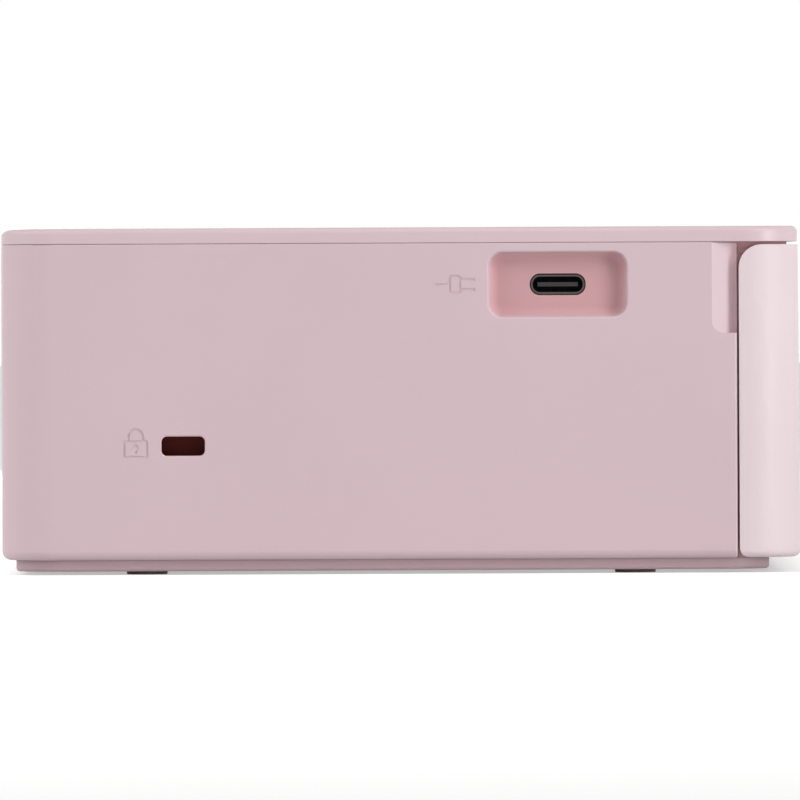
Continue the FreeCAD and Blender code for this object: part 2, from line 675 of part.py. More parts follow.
def side_plate(x0, round_holes, slots):
    corners = [(CHASSIS_FRONT, CHASSIS_FLOOR + 1), (CHASSIS_BACK, CHASSIS_FLOOR + 1)]
    corners += [(CHASSIS_BACK, CHASSIS_TOP), (-12, CHASSIS_TOP)]
    corners += [(-12, BOARD_BOTTOM), (CHASSIS_FRONT, BOARD_BOTTOM)]
    plate = prism_x(corners, x0, x0 + PLATE)
    tools = [rod("x", centre, radius, x0 - 1, x0 + 3) for centre, radius in round_holes]
    for y in slots:
        low = (x0 - 1, y - 1.55, 46 - 1.7 - HEAD_TRAVEL)
        tools.append(rounded("x", low, (x0 + 3, y + 1.55, 47.7), 1.5))
    tools.append(prism_x([(-46, 32), (-38, 32), (-38, 42), (-46, 42)], x0 - 1, x0 + 3))
    return cut_all(plate, tools)


HEAD_PINS = (HEAD_Y - 4.5, HEAD_Y + 4.5)


def chassis_left_plate():
    holes = [(centre, BUSH_R) for centre in (CAPSTAN, PLATEN, PICKUP, TAKEUP, SUPPLY)]
    holes += [(PINCH, PINCH_SHAFT_R + RUN_FIT), (REDUCTION, 1.5)]
    return side_plate(LEFT, holes, HEAD_PINS)


def chassis_right_plate():
    holes = [(centre, BUSH_R) for centre in (CAPSTAN, PLATEN, PICKUP)]
    holes += [(PINCH, PINCH_SHAFT_R + RUN_FIT), (TAKEUP, TUBE_R + 0.6), (SUPPLY, TUBE_R + 0.6)]
    plate = side_plate(RIGHT_PLATE, holes, HEAD_PINS)
    plate = plate.cut(box(RIGHT_PLATE - 1, RIGHT + 1, TAKEUP[0], SUPPLY[0], 28.3, 36.2))
    return join([plate] + lever_guides())


def lever_guides():
    """Two loops of bent steel that hold the stem of the eject lever."""
    loops = []
    for z in (12.5, 31.5):
        loop = box(RIGHT, 69.0, -10.2, -4.7, z, z + 2)
        loops.append(loop.cut(box(65.9, 68.1, -9.0, -5.9, z - 1, z + 3)))
    return loops


def chassis_cross_members():
    """The floor sheet and two bars that tie the side plates together."""
    sheet = box(LEFT, RIGHT, -56, CHASSIS_BACK, CHASSIS_FLOOR, CHASSIS_FLOOR + 1)
    holes = [rounded("z", (x, 0, 0), (x + 14, 44, 10), 3) for x in (-40, -20, 0, 20, 40)]
    back = box(LEFT_PLATE, RIGHT_PLATE, 54.5, 58.5, 46, 47.2)
    back = join([back, box(LEFT_PLATE, RIGHT_PLATE, 57.3, 58.5, 43, 46)])
    front = box(LEFT_PLATE, RIGHT_PLATE, -36, -35, 40, 44)
    front = join([front, box(LEFT_PLATE, RIGHT_PLATE, -38, -35, 44, 45)])
    return group([cut_all(sheet, holes), back, front])


def shaft_bushes():
    """Plain bearings, pressed into the side plates."""
    bore = SHAFT_R + RUN_FIT
    shapes = []
    for centre in (CAPSTAN, PLATEN, PICKUP, TAKEUP, SUPPLY):
        shapes.append(tube("x", centre, BUSH_R, bore, LEFT - 0.4, LEFT_PLATE + 0.6))
    for centre in (CAPSTAN, PLATEN, PICKUP):
        shapes.append(tube("x", centre, BUSH_R, bore, RIGHT_PLATE - 0.6, RIGHT + 0.4))
    return group(shapes)


def lower_guide():
    left, right = PAPER_X - BAY_HALF, PAPER_X + BAY_HALF
    sheet = box(left - 1.5, right + 1.5, -20, CHASSIS_BACK, 25.2, 26.2)
    capstan_gap = box(left + 0.5, right - 0.5, CAPSTAN[0] - 5, CAPSTAN[0] + 5, 20, 30)
    platen_gap = box(left + 0.5, right - 0.5, PLATEN[0] - 8, PLATEN[0] + 8, 20, 30)
    legs = [box(x, x + 1.5, 34, 58, CHASSIS_FLOOR + 1, 25.2) for x in (left - 1.5, right)]
    return join([sheet] + legs).cut(capstan_gap).cut(platen_gap)


def paper_guides():
    left, right = PAPER_X - BAY_HALF, PAPER_X + BAY_HALF
    return group([lower_guide(), box(left - 1.5, right + 1.5, 46, CHASSIS_BACK, 27.4, 28.2)])


# Rollers

def capstan_roller():
    roller = rod("x", CAPSTAN, CAPSTAN_R, PAPER_X - 52, PAPER_X + 52)
    return roller.fuse(rod("x", CAPSTAN, SHAFT_R, LAYER_B, RIGHT + 1.2)).removeSplitter()


def pinch_roller():
    roller = rod("x", PINCH, PINCH_R, PAPER_X - 52, PAPER_X + 52)
    return roller.fuse(rod("x", PINCH, PINCH_SHAFT_R, LEFT - 0.4, RIGHT + 1.5)).removeSplitter()


def platen_shaft():
    core = rod("x", PLATEN, PLATEN_CORE_R, PAPER_X - 53, PAPER_X + 53)
    return core.fuse(rod("x", PLATEN, SHAFT_R, LEFT - 1.5, RIGHT + 2)).removeSplitter()


def platen_rubber():
    return tube("x", PLATEN, PLATEN_R, PLATEN_CORE_R, PAPER_X - 51, PAPER_X + 51)


def pickup_shaft():
    return rod("x", PICKUP, SHAFT_R, LAYER_A - 1, RIGHT + 2)


def pickup_tyres():
    return group([tube("x", PICKUP, PICKUP_R, SHAFT_R, x, x + 20) for x in (PAPER_X - 28, PAPER_X + 8)])


def pinch_springs():
    """Leaf springs that press on the ends of the pinch roller's shaft."""
    top = PINCH[1] + PINCH_SHAFT_R + RUN_FIT
    shapes = []
    for x0, x1 in ((LEFT_PLATE, LEFT_PLATE + 2), (RIGHT_PLATE - 2, RIGHT_PLATE)):
        lower = [(-18, top + 3), (-10.5, top), (-7.5, top)]
        upper = [(-7.5, top + 0.4), (-10.4, top + 0.4), (-18, top + 3.4)]
        shapes.append(prism_x(lower + upper, x0, x1))
    return group(shapes)


# Gears and motors

CAPSTAN_PHASE, PICKUP_PHASE = meshed(CAPSTAN, PICKUP, PICKUP_TEETH)
DRIVE_PHASE, SMALL_PHASE = meshed(CAPSTAN, REDUCTION, SMALL_TEETH)
BIG_PHASE, FEED_PHASE = meshed(REDUCTION, FEED_MOTOR, PINION_TEETH)
SPOOL_PHASE, RIBBON_PHASE = meshed(TAKEUP, RIBBON_MOTOR, PINION_TEETH)


def capstan_gear():
    """The large gear that the motor drives and the small one that turns the pick-up roller."""
    small = gear(CAPSTAN_TEETH, CAPSTAN, CAPSTAN_PHASE, LAYER_A, SHAFT_R)
    large = gear(DRIVE_TEETH, CAPSTAN, DRIVE_PHASE, LAYER_B, SHAFT_R)
    return join([small, large, tube("x", CAPSTAN, 5, SHAFT_R, LAYER_B + GEAR_W, LAYER_A)])


def pickup_gear():
    return gear(PICKUP_TEETH, PICKUP, PICKUP_PHASE, LAYER_A, SHAFT_R)


def reduction_gear():
    small = gear(SMALL_TEETH, REDUCTION, SMALL_PHASE, LAYER_B, 1.5 + RUN_FIT)
    large = gear(BIG_TEETH, REDUCTION, BIG_PHASE, LAYER_C, 1.5 + RUN_FIT)
    return join([small, large, tube("x", REDUCTION, 3.5, 1.5 + RUN_FIT, LAYER_C + GEAR_W, LAYER_B)])


def pinion_on_shaft(centre, phase, layer):
    wheel = gear(PINION_TEETH, centre, phase, layer, 0.5)
    return wheel.fuse(rod("x", centre, 1.0, MOTOR_PLATE - 1.8, layer + GEAR_W)).removeSplitter()


def feed_pinion():
    return pinion_on_shaft(FEED_MOTOR, FEED_PHASE, LAYER_C)


def ribbon_pinion():
    return pinion_on_shaft(RIBBON_MOTOR, RIBBON_PHASE, LAYER_A)


def motor(centre, radius):
    can = rod("x", centre, radius, MOTOR_PLATE - 16, MOTOR_PLATE)
    boss = rod("x", centre, 3.0, MOTOR_PLATE, MOTOR_PLATE + 1.0)
    y, z = centre
    terminals = box(MOTOR_PLATE - 16.8, MOTOR_PLATE - 16, y - 4, y + 4, z - 2, z + 2)
    shaft_hole = rod("x", centre, 1.0 + RUN_FIT, MOTOR_PLATE - 2, MOTOR_PLATE + 2)
    return join([can, boss, terminals]).cut(shaft_hole)


def feed_motor():
    return motor(FEED_MOTOR, 9.6)


def ribbon_motor():
    return motor(RIBBON_MOTOR, 7.6)


def motor_bracket():
    outline = [(-4, 5.5), (36, 5.5), (36, 44), (28, 50.5), (4, 50.5), (-4, 42)]
    plate = prism_x(outline, MOTOR_PLATE, MOTOR_PLATE + 1)
    post_places = ((-1, 8), (33, 8), (33, 36), (32, 44.5))
    posts = [rod("x", place, 1.8, MOTOR_PLATE + 1, LEFT) for place in post_places]
    motors = (FEED_MOTOR, RIBBON_MOTOR)
    holes = [rod("x", centre, 3.0, MOTOR_PLATE - 1, MOTOR_PLATE + 2) for centre in motors]
    gear_pin = rod("x", REDUCTION, 1.5, MOTOR_PLATE, LEFT_PLATE)
    return cut_all(join([plate, gear_pin] + posts), holes)


def spindle(centre, outer_end):
    """A shaft that turns a spool by its square end."""
    shaft = rod("x", centre, SHAFT_R, outer_end, LEFT_PLATE + 0.8)
    square = box(LEFT_PLATE + 0.8, -44.5, centre[0] - 1.7, centre[0] + 1.7, centre[1] - 1.7, centre[1] + 1.7)
    return shaft.fuse(square).removeSplitter()


def takeup_spindle():
    wheel = gear(SPOOL_TEETH, TAKEUP, SPOOL_PHASE, LAYER_A, 1.0)
    return spindle(TAKEUP, LAYER_A - 0.5).fuse(wheel).removeSplitter()


def supply_spindle():
    brake_drum = tube("x", SUPPLY, 4, SHAFT_R, LEFT - 2.6, LEFT - 0.6)
    return spindle(SUPPLY, LEFT - 3).fuse(brake_drum).removeSplitter()


# Ink cassette

def ink_cassette():
    shapes = []
    for y, z in (TAKEUP, SUPPLY):
        shapes.append(tube("x", (y, z), TUBE_R, TUBE_R - TUBE_WALL, CASSETTE_LEFT, CASSETTE_RIGHT))
        shapes.append(tube("x", (y, z), TUBE_R - 0.5, 3.2 + RUN_FIT, CASSETTE_LEFT, CASSETTE_LEFT + 1.5))
        cap = rod("x", (y, z), TUBE_R, CASSETTE_RIGHT - 1.5, GRIP_RIGHT)
        cap = cap.cut(rod("x", (y, z), TUBE_R - 1.6, CASSETTE_RIGHT + 2, GRIP_RIGHT + 1))
        shapes.append(cap.cut(rod("x", (y, z), SHAFT_R + RUN_FIT, CASSETTE_RIGHT - 2, CASSETTE_RIGHT)))
    mid_front, mid_back = TAKEUP[0] + TUBE_R - 1, SUPPLY[0] - TUBE_R + 1
    for x0, x1 in ((CASSETTE_LEFT, CASSETTE_LEFT + 1.5), (58.5, GRIP_RIGHT)):
        shapes.append(box(x0, x1, mid_front, mid_back, 30.5, 35.5))
        web = box(x0, x1, TAKEUP[0] + 3.9, mid_front, 30.5, 35.5)
        shapes.append(web.cut(rod("x", TAKEUP, TUBE_R - 0.6, -SIDE, SIDE)))
        web = box(x0, x1, mid_back, SUPPLY[0] - 3.9, 30.5, 35.5)
        shapes.append(web.cut(rod("x", SUPPLY, TUBE_R - 0.6, -SIDE, SIDE)))
    shapes.append(box(70, 73, -8.5, TAKEUP[0] - TUBE_R + 0.8, 38, 41))
    case = join(shapes)
    film = (PAPER_X - RIBBON_HALF - 1, PAPER_X + RIBBON_HALF + 1)
    windows = []
    for y, z in ((10.9, 33.4), (36.5, 32.4)):
        windows.append(box(film[0], film[1], y - 1.9, y + 1.9, z - 1.9, z + 1.9))
    return cut_all(case, windows)


def spool(centre):
    core = rod("x", centre, CORE_R, CASSETTE_LEFT + 1.7, CASSETTE_RIGHT - 1.7)
    hub = rod("x", centre, 3.2, CASSETTE_LEFT, CASSETTE_LEFT + 1.7)
    stub = rod("x", centre, SHAFT_R, CASSETTE_RIGHT - 1.7, CASSETTE_RIGHT - 0.2)
    socket = box(CASSETTE_LEFT - 1, -42, centre[0] - 1.8, centre[0] + 1.8, centre[1] - 1.8, centre[1] + 1.8)
    return join([core, hub, stub]).cut(socket)


def wound_spool(centre, radius):
    roll = tube("x", centre, radius, CORE_R, PAPER_X - RIBBON_HALF, PAPER_X + RIBBON_HALF)
    return spool(centre).fuse(roll).removeSplitter()


def takeup_spool():
    return wound_spool(TAKEUP, 5.0)


def supply_spool():
    return wound_spool(SUPPLY, 7.0)


def ribbon_film():
    """The stretch of film between the two rolls, under the print head."""
    under = [(38.0, 33.2), (28.5, 26.95), (17.5, 26.95), (8.3, 35.9)]
    over = [(8.45, 36.05), (17.6, 27.1), (28.4, 27.1), (37.9, 33.35)]
    return prism_x(under + over, PAPER_X - RIBBON_HALF, PAPER_X + RIBBON_HALF)


# Eject lever, which a ramp ties to the cassette

def eject_lever():
    front, back = -8.9, -6.0
    stem = box(66.0, 68.0, front, back, 10, 46)
    corners = [Vector(x, front, z) for x, z in ((66, 41), (69.9, 41), (74.9, 46), (66, 46), (66, 41))]
    ramp = Part.Face(Part.makePolygon(corners)).extrude(Vector(0, back - front, 0))
    tab = box(66, 82, front, back, 46, 47.6)
    return join([stem, ramp, tab])


# Print head

def print_head():
    bar = box(-44.8, 56.8, HEAD_Y - 3, HEAD_Y + 3, HEAD_TIP + 0.6, HEAD_TIP + 1.6)
    bead = rod("x", (HEAD_Y, HEAD_TIP + 1.2), 1.2, -44.8, 56.8)
    return join([bar, bead])


def head_heatsink():
    block = box(-44.8, 56.8, HEAD_Y - 5.5, HEAD_Y + 5.5, HEAD_TIP + 1.6, 40)
    block = block.cut(rod("x", (HEAD_Y, HEAD_TIP + 1.2), 1.2, -46, 58))
    grooves = [box(-46, 58, HEAD_Y + side * 5.5 - 1.5, HEAD_Y + side * 5.5 + 1.5, z, z + 1.2)
               for side in (-1, 1) for z in (32.5, 35, 37.5)]
    return cut_all(block, grooves)


def head_carrier():
    beam = box(-50, 61, HEAD_Y - 6.5, HEAD_Y + 6.5, 40, 49.4)
    beam = beam.cut(box(-44, 55, HEAD_Y - 4.5, HEAD_Y + 4.5, 42, 50))
    pins = []
    for y in HEAD_PINS:
        pins.append(rod("x", (y, 46), 1.5, LEFT - 0.4, -49))
        pins.append(rod("x", (y, 46), 1.5, 60, RIGHT + 0.8))
    return join([beam] + pins)


# Electronics

def main_board():
    return box(RECESS_BACK + 0.4, 86, -51.5, -14, BOARD_BOTTOM, BOARD_TOP)


def board_chips():
    packages = [(-20, -34, 14, 14, 1.2), (4, -32, 10, 12, 1.0), (-46, -30, 8, 8, 1.4)]
    packages += [(30, -36, 12, 9, 1.8), (48, -28, 6, 10, 3.0)]
    chips = [box(x, x + w, y, y + d, BOARD_TOP, BOARD_TOP + h) for x, y, w, d, h in packages]
    wireless = join([box(-72, -56, -48, -36, BOARD_TOP, BOARD_TOP + 0.8),
                     box(-67, -57, -47, -37, BOARD_TOP + 0.8, BOARD_TOP + 2.2)])
    return group(chips + [wireless])


def usb_shell():
    low = (USB_MOUTH, PORT_Y - 4.47, PORT_Z - 1.6)
    high = (USB_MOUTH + 7.2, PORT_Y + 4.47, PORT_Z + 1.6)
    shell = rounded("x", low, high, 1.5)
    inner_high = (high[0] - 1, high[1] - 0.3, high[2] - 0.3)
    inside = rounded("x", (low[0] - 1, low[1] + 0.3, low[2] + 0.3), inner_high, 1.2)
    x0, x1 = USB_MOUTH + 3.7, USB_MOUTH + 5.2
    legs = [box(x0, x1, y - 0.3, y + 0.3, BOARD_TOP, PORT_Z) for y in (PORT_Y - 4.0, PORT_Y + 4.0)]
    return join([shell] + legs).cut(inside)


def usb_tongue():
    x0, x1 = USB_MOUTH + 0.6, USB_MOUTH + 6.2
    return box(x0, x1, PORT_Y - 3.35, PORT_Y + 3.35, PORT_Z - 0.35, PORT_Z + 0.35)


def card_socket():
    case = box(66, 88.9, CARD_Y - 13, CARD_Y + 13, BOARD_TOP, PORT_Z + 1.7)
    return case.cut(box(68, 90, CARD_Y - 12.1, CARD_Y + 12.1, PORT_Z - 1.15, PORT_Z + 1.15))


def board_sockets():
    return group([usb_shell(), card_socket()])


def lock_plate():
    plate = box(-INNER_SIDE, -INNER_SIDE + 1.2, LOCK_Y - 7, LOCK_Y + 7, LOCK_Z - 5, LOCK_Z + 5)
    return plate.cut(lock_slot(0.1))


def power_board():
    board = box(-78, -56, 38, 62, 5.3, 6.5)
    return join([board] + [rod("z", place, 4.0, 6.5, 20) for place in ((-61, 43), (-72, 43))])


def dc_jack():
    body = box(JACK_X - 4.5, JACK_X + 4.5, 52, INNER_BACK - 0.1, 6.5, JACK_Z + 5.5)
    body = body.cut(rod("y", (JACK_X, JACK_Z), 2.9, 55, BACK))
    return body.fuse(rod("y", (JACK_X, JACK_Z), 0.85, 54, INNER_BACK - 0.5)).removeSplitter()


def battery_cover():
    left, right = BATTERY_X - BATTERY_W / 2, BATTERY_X + BATTERY_W / 2
    low = (left + 0.2, INNER_BACK, BATTERY_LOW + 0.2)
    high = (right - 0.2, BACK - 0.3, BATTERY_HIGH - 0.2)
    return rounded("y", low, high, 1.3)


def case_screws():
    screws = []
    for place in screw_places():
        head = rod("z", place, 2.4, 0.7, 1.6)
        cross = join([box(place[0] - 1.2, place[0] + 1.2, place[1] - 0.25, place[1] + 0.25, 0.5, 1.2),
                      box(place[0] - 0.25, place[0] + 0.25, place[1] - 1.2, place[1] + 1.2, 0.5, 1.2)])
        screws.append(head.fuse(rod("z", place, 1.25, 1.6, 13)).removeSplitter().cut(cross))
    return group(screws)


NODES = [
    base_tray, rubber_feet, body_shell, top_cover, screen_window, screen_module, keypad_board,
    front_cover, front_cover_pins, front_frame, paper_bay, ink_door,
    chassis_left_plate, chassis_right_plate, chassis_cross_members, shaft_bushes, paper_guides,
    capstan_roller, pinch_roller, platen_shaft, platen_rubber, pickup_shaft, pickup_tyres, pinch_springs,
    capstan_gear, pickup_gear, reduction_gear, feed_pinion, feed_motor,
    ribbon_pinion, ribbon_motor, motor_bracket, takeup_spindle, supply_spindle,
    ink_cassette, takeup_spool, supply_spool, ribbon_film, eject_lever,
    print_head, head_heatsink, head_carrier,
    main_board, board_chips, board_sockets, usb_tongue, lock_plate, power_board, dc_jack,
    battery_cover, case_screws,
]


def write_parts():
    os.makedirs("parts", exist_ok=True)
    for name in KEYS:
        key(name).exportStep("parts/" + name + ".step")
    for make in NODES:
        shape = make()
        if not shape.isValid() or not shape.Solids:
            raise SystemExit(make.__name__ + " is not a sound solid")
        shape.exportStep("parts/" + make.__name__ + ".step")
    print(len(KEYS) + len(NODES), "nodes written")


write_parts()
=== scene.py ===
import math
import bmesh
import bpy
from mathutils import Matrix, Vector


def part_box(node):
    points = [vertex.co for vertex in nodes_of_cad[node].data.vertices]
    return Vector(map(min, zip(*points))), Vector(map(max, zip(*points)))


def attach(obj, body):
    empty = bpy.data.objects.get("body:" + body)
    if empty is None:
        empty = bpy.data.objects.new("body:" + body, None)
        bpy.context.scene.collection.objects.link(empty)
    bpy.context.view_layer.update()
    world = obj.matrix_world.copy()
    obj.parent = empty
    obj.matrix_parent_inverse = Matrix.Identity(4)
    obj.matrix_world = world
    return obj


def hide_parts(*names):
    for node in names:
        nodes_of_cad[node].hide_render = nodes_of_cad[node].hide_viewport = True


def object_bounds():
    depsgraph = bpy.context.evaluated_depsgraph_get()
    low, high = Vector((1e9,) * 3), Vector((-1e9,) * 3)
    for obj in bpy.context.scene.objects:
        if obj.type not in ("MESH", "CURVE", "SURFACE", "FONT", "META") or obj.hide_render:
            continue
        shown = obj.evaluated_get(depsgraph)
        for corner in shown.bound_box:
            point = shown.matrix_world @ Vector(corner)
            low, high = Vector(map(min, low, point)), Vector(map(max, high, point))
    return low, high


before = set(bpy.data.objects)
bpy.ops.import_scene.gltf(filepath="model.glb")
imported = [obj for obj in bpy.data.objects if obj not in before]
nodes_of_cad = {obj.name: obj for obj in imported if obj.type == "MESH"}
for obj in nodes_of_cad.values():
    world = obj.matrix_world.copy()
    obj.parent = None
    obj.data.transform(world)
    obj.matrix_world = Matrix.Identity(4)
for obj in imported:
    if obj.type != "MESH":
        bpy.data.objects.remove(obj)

cad_low, cad_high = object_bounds()


# Base plate
# The tray that closes the case from below and carries the chassis, a little smaller than the case.
# It is injection moulded in the pink plastic, with foot recesses, screw wells and air slots. Its colour is
# painted darker than the case's, for the shade under the overhanging case.

def shade(red, green, blue):
    """Linear colour of a shade read on screen, 0 to 255."""
    values = []
    for level in (red / 255, green / 255, blue / 255):
        values.append(level / 12.92 if level <= 0.04045 else ((level + 0.055) / 1.055) ** 2.4)
    return (*values, 1.0)


def new_group(name, numbers, colours, outputs):
    """A shader node group with named sockets, what it takes in and its output node."""
    group = bpy.data.node_groups.new(name, "ShaderNodeTree")
    for kind, inputs in (("NodeSocketColor", colours), ("NodeSocketFloat", numbers)):
        for label, value in inputs.items():
            group.interface.new_socket(label, in_out="INPUT", socket_type=kind).default_value = value
    for label, kind in outputs.items():
        group.interface.new_socket(label, in_out="OUTPUT", socket_type="NodeSocket" + kind)
    return group, group.nodes.new("NodeGroupInput").outputs, group.nodes.new("NodeGroupOutput")


def feed(tree, node, inputs):
    """Gives inputs of a node their values or their links."""
    for label, value in inputs.items():
        if isinstance(value, bpy.types.NodeSocket):
            tree.links.new(value, node.inputs[label])
        else:
            node.inputs[label].default_value = value


def add(tree, kind, inputs=None, **options):
    """Adds a node to a tree, sets its options and feeds its inputs."""
    node = tree.nodes.new(kind)
    for option, value in options.items():
        setattr(node, option, value)
    feed(tree, node, inputs or {})
    return node


def maths(tree, operation, *values):
    """The result of one step of arithmetic on numbers."""
    return add(tree, "ShaderNodeMath", dict(enumerate(values)), operation=operation).outputs["Value"]


def vector_maths(tree, operation, values, result="Vector"):
    """The result of one step of arithmetic on vectors."""
    return add(tree, "ShaderNodeVectorMath", values, operation=operation).outputs[result]


def spread(tree, value, low, high, to_low, to_high):
    """Maps a value that changes over the surface from one range to another."""
    ranges = {"Value": value, "From Min": low, "From Max": high, "To Min": to_low, "To Max": to_high}
    return add(tree, "ShaderNodeMapRange", ranges).outputs["Result"]


def noise(tree, place, scale, **more):
    """The level of a noise at each place."""
    return add(tree, "ShaderNodeTexNoise", {"Vector": place, "Scale": scale, **more}).outputs["Fac"]


def blended(tree, share, first, second):
    """A colour between two others."""
    colours = {"Factor": share, "A": first, "B": second}
    return add(tree, "ShaderNodeMix", colours, data_type="RGBA").outputs["Result"]


def place_in(tree):
    """Where each point lies on the object."""
    return add(tree, "ShaderNodeTexCoord").outputs["Object"]


def axes_of(tree, place):
    """The X, Y and Z of a place."""
    return add(tree, "ShaderNodeSeparateXYZ", {"Vector": place}).outputs


moulded_skin, skin_in, skin_out = new_group(
    "moulded_skin",
    {"Grain Size": 5200.0, "Shine Low": 0.44, "Shine High": 0.54, "Unevenness": 0.04},
    {"Colour": shade(215, 190, 197)},
    {"Colour": "Color", "Roughness": "Float", "Height": "Float"},
)
skin_place = place_in(moulded_skin)
skin_grain = noise(moulded_skin, skin_place, skin_in["Grain Size"], Detail=2.5)
skin_flow = noise(moulded_skin, skin_place, 34.0, Detail=4.0)
skin_drift = spread(moulded_skin, skin_flow, 0.3, 0.7, -0.5, 0.5)
skin_amount = maths(moulded_skin, "MULTIPLY_ADD", skin_drift, skin_in["Unevenness"], 1.0)
feed(moulded_skin, skin_out, {
    "Colour": vector_maths(moulded_skin, "SCALE", {0: skin_in["Colour"], "Scale": skin_amount}),
    "Roughness": spread(moulded_skin, skin_grain, 0.0, 1.0, skin_in["Shine Low"], skin_in["Shine High"]),
    "Height": skin_grain,
})


# Painted shade by how far a point lies inside the rounded outline of the case: hollows and slits are painted
# redder, and the bottoms of the deep ones on the left dark, for the shade and red bounce light that fall
# there.
hollow_tint, hollow_in, hollow_out = new_group(
    "hollow_tint",
    {"Open Until": 0.0011, "Hollow From": 0.0024, "Dark From": 0.0028, "Black From": 0.0050},
    {"Colour": shade(208, 184, 191), "Hollow": shade(204, 160, 164), "Deep": shade(160, 76, 68)},
    {"Colour": "Color", "Dullness": "Float"},
)
corner_radius = 0.009
corner_middle = (cad_high[0] - corner_radius, cad_high[1] - corner_radius, 1.0)
hollow_place = place_in(hollow_tint)
hollow_axes = axes_of(hollow_tint, hollow_place)
hollow_fold = vector_maths(hollow_tint, "ABSOLUTE", {0: hollow_place})
hollow_shift = vector_maths(hollow_tint, "SUBTRACT", {0: hollow_fold, 1: corner_middle})
hollow_clip = vector_maths(hollow_tint, "MAXIMUM", {0: hollow_shift, 1: (0.0, 0.0, 0.0)})
hollow_reach = vector_maths(hollow_tint, "LENGTH", {0: hollow_clip}, "Value")
hollow_inward = maths(hollow_tint, "SUBTRACT", corner_radius, hollow_reach)
hollow_downward = maths(hollow_tint, "SUBTRACT", cad_high[2], hollow_axes["Z"])
hollow_depth = maths(hollow_tint, "MINIMUM", hollow_inward, hollow_downward)
hollow_levels = []
for hollow_start, hollow_end in (("Open Until", "Hollow From"), ("Dark From", "Black From")):
    hollow_range = {"Value": hollow_depth, "From Min": hollow_in[hollow_start],
                    "From Max": hollow_in[hollow_end]}
    hollow_step = add(hollow_tint, "ShaderNodeMapRange", hollow_range, interpolation_type="SMOOTHSTEP")
    hollow_levels.append(hollow_step.outputs["Result"])
hollow_left = maths(hollow_tint, "LESS_THAN", hollow_axes["X"], 0.0)
deep_shade_mask = maths(hollow_tint, "MULTIPLY", hollow_levels[1], hollow_left)
hollow_shaded_colour = blended(hollow_tint, hollow_levels[0], hollow_in["Colour"], hollow_in["Hollow"])
feed(hollow_tint, hollow_out, {
    "Colour": blended(hollow_tint, deep_shade_mask, hollow_shaded_colour, hollow_in["Deep"]),
    "Dullness": hollow_levels[0],
})


def surface_of(finish):
    """The surface shader of a material."""
    return finish.node_tree.nodes["Principled BSDF"]


def surfaced(name, skin, looks, strength=0.0, relief=0.0):
    """A material that takes its colour, its shine and any relief from a node group."""
    finish = bpy.data.materials.new(name)
    finish.use_nodes = True
    tree = finish.node_tree
    look = add(tree, "ShaderNodeGroup", looks, node_tree=skin, name="look").outputs
    feed(tree, surface_of(finish), {"Base Color": look["Colour"], "Roughness": look["Roughness"]})
    if relief:
        bumps = {"Strength": strength, "Distance": relief / 1000, "Height": look["Height"]}
        bump = add(tree, "ShaderNodeBump", bumps)
        feed(tree, surface_of(finish), {"Normal": bump.outputs["Normal"]})
    return finish


def moulded(name, colour, shine=(0.44, 0.54), grain=5200.0, relief=0.02, unevenness=0.04, hollow=None):
    """A moulded plastic: a colour that wanders a little and a skin with the grain of its mould."""
    looks = {"Colour": colour, "Grain Size": grain, "Shine Low": shine[0], "Shine High": shine[1],
             "Unevenness": unevenness}
    finish = surfaced(name, moulded_skin, looks, 0.35, relief)
    # Painted shade: with a hollow shade colour, hollows and slits are painted redder, and the deep ones on the
    # left dark.
    if hollow:
        tree = finish.node_tree
        look = tree.nodes["look"]
        tints = {"Colour": colour, "Hollow": hollow}
        tint = add(tree, "ShaderNodeGroup", tints, node_tree=hollow_tint).outputs
        feed(tree, look, {"Colour": tint["Colour"]})
        duller = maths(tree, "MAXIMUM", look.outputs["Roughness"], tint["Dullness"])
        feed(tree, surface_of(finish), {"Roughness": duller})
    return finish


def plain_mesh(piece):
    """Turns what the modifiers of a piece make into its own mesh, and takes them off."""
    bpy.context.view_layer.update()
    evaluated = piece.evaluated_get(bpy.context.evaluated_depsgraph_get())
    result = bpy.data.meshes.new_from_object(evaluated)
    result.name = piece.name
    piece.modifiers.clear()
    piece.data = result
    return piece


def finished(node, material, edge=0.15, steps=2, turn=40, crease_y=None):
    """A copy of a CAD part whose sharp corners are broken, as a mould or a file leaves them."""
    raw = bmesh.new()
    raw.from_mesh(nodes_of_cad[node].data)
    bmesh.ops.remove_doubles(raw, verts=raw.verts, dist=0.000002)
    bmesh.ops.dissolve_limit(raw, angle_limit=math.radians(0.6), verts=raw.verts, edges=raw.edges)
    bmesh.ops.triangulate(raw, faces=[face for face in raw.faces if len(face.verts) > 4])
    mesh = bpy.data.meshes.new(node + "_finished")
    raw.to_mesh(mesh)
    raw.free()
    if "custom_normal" in mesh.attributes:
        mesh.attributes.remove(mesh.attributes["custom_normal"])
    mesh.materials.clear()
    mesh.materials.append(material)
    mesh.polygons.foreach_set("material_index", [0] * len(mesh.polygons))
    piece = bpy.data.objects.new(node + "_finished", mesh)
    bpy.context.scene.collection.objects.link(piece)
    mesh.shade_smooth()
    mesh.set_sharp_from_angle(angle=math.radians(turn))
    if crease_y is not None:
        for line in mesh.edges:
            if all(abs(mesh.vertices[end].co.y - crease_y) < 0.00002 for end in line.vertices):
                line.use_edge_sharp = True
    if edge:
        bevel = piece.modifiers.new("broken_corners", "BEVEL")
        bevel.width = edge / 1000
        bevel.segments = steps
        bevel.limit_method = "ANGLE"
        bevel.angle_limit = math.radians(turn)
        bevel.miter_outer = "MITER_ARC"
    evened = piece.modifiers.new("even_shading", "WEIGHTED_NORMAL")
    evened.mode = "FACE_AREA"
    evened.weight = 100
    evened.keep_sharp = True
    return plain_mesh(piece)


def stands_for(piece, body, slot, *nodes):
    """Lets a piece ride on its body and replace CAD nodes. The slot is not used."""
    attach(piece, body)
    if nodes:
        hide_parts(*nodes)


# Painted shade: the base plate's pink is darker than the case's, for the shade under the case's overhang.
pink_base = moulded("pink_base", shade(194, 168, 174), shine=(0.50, 0.60), relief=0.03)
base_plate = finished("base_tray", pink_base, edge=0.12)
stands_for(base_plate, "case", "base_plastic", "base_tray")
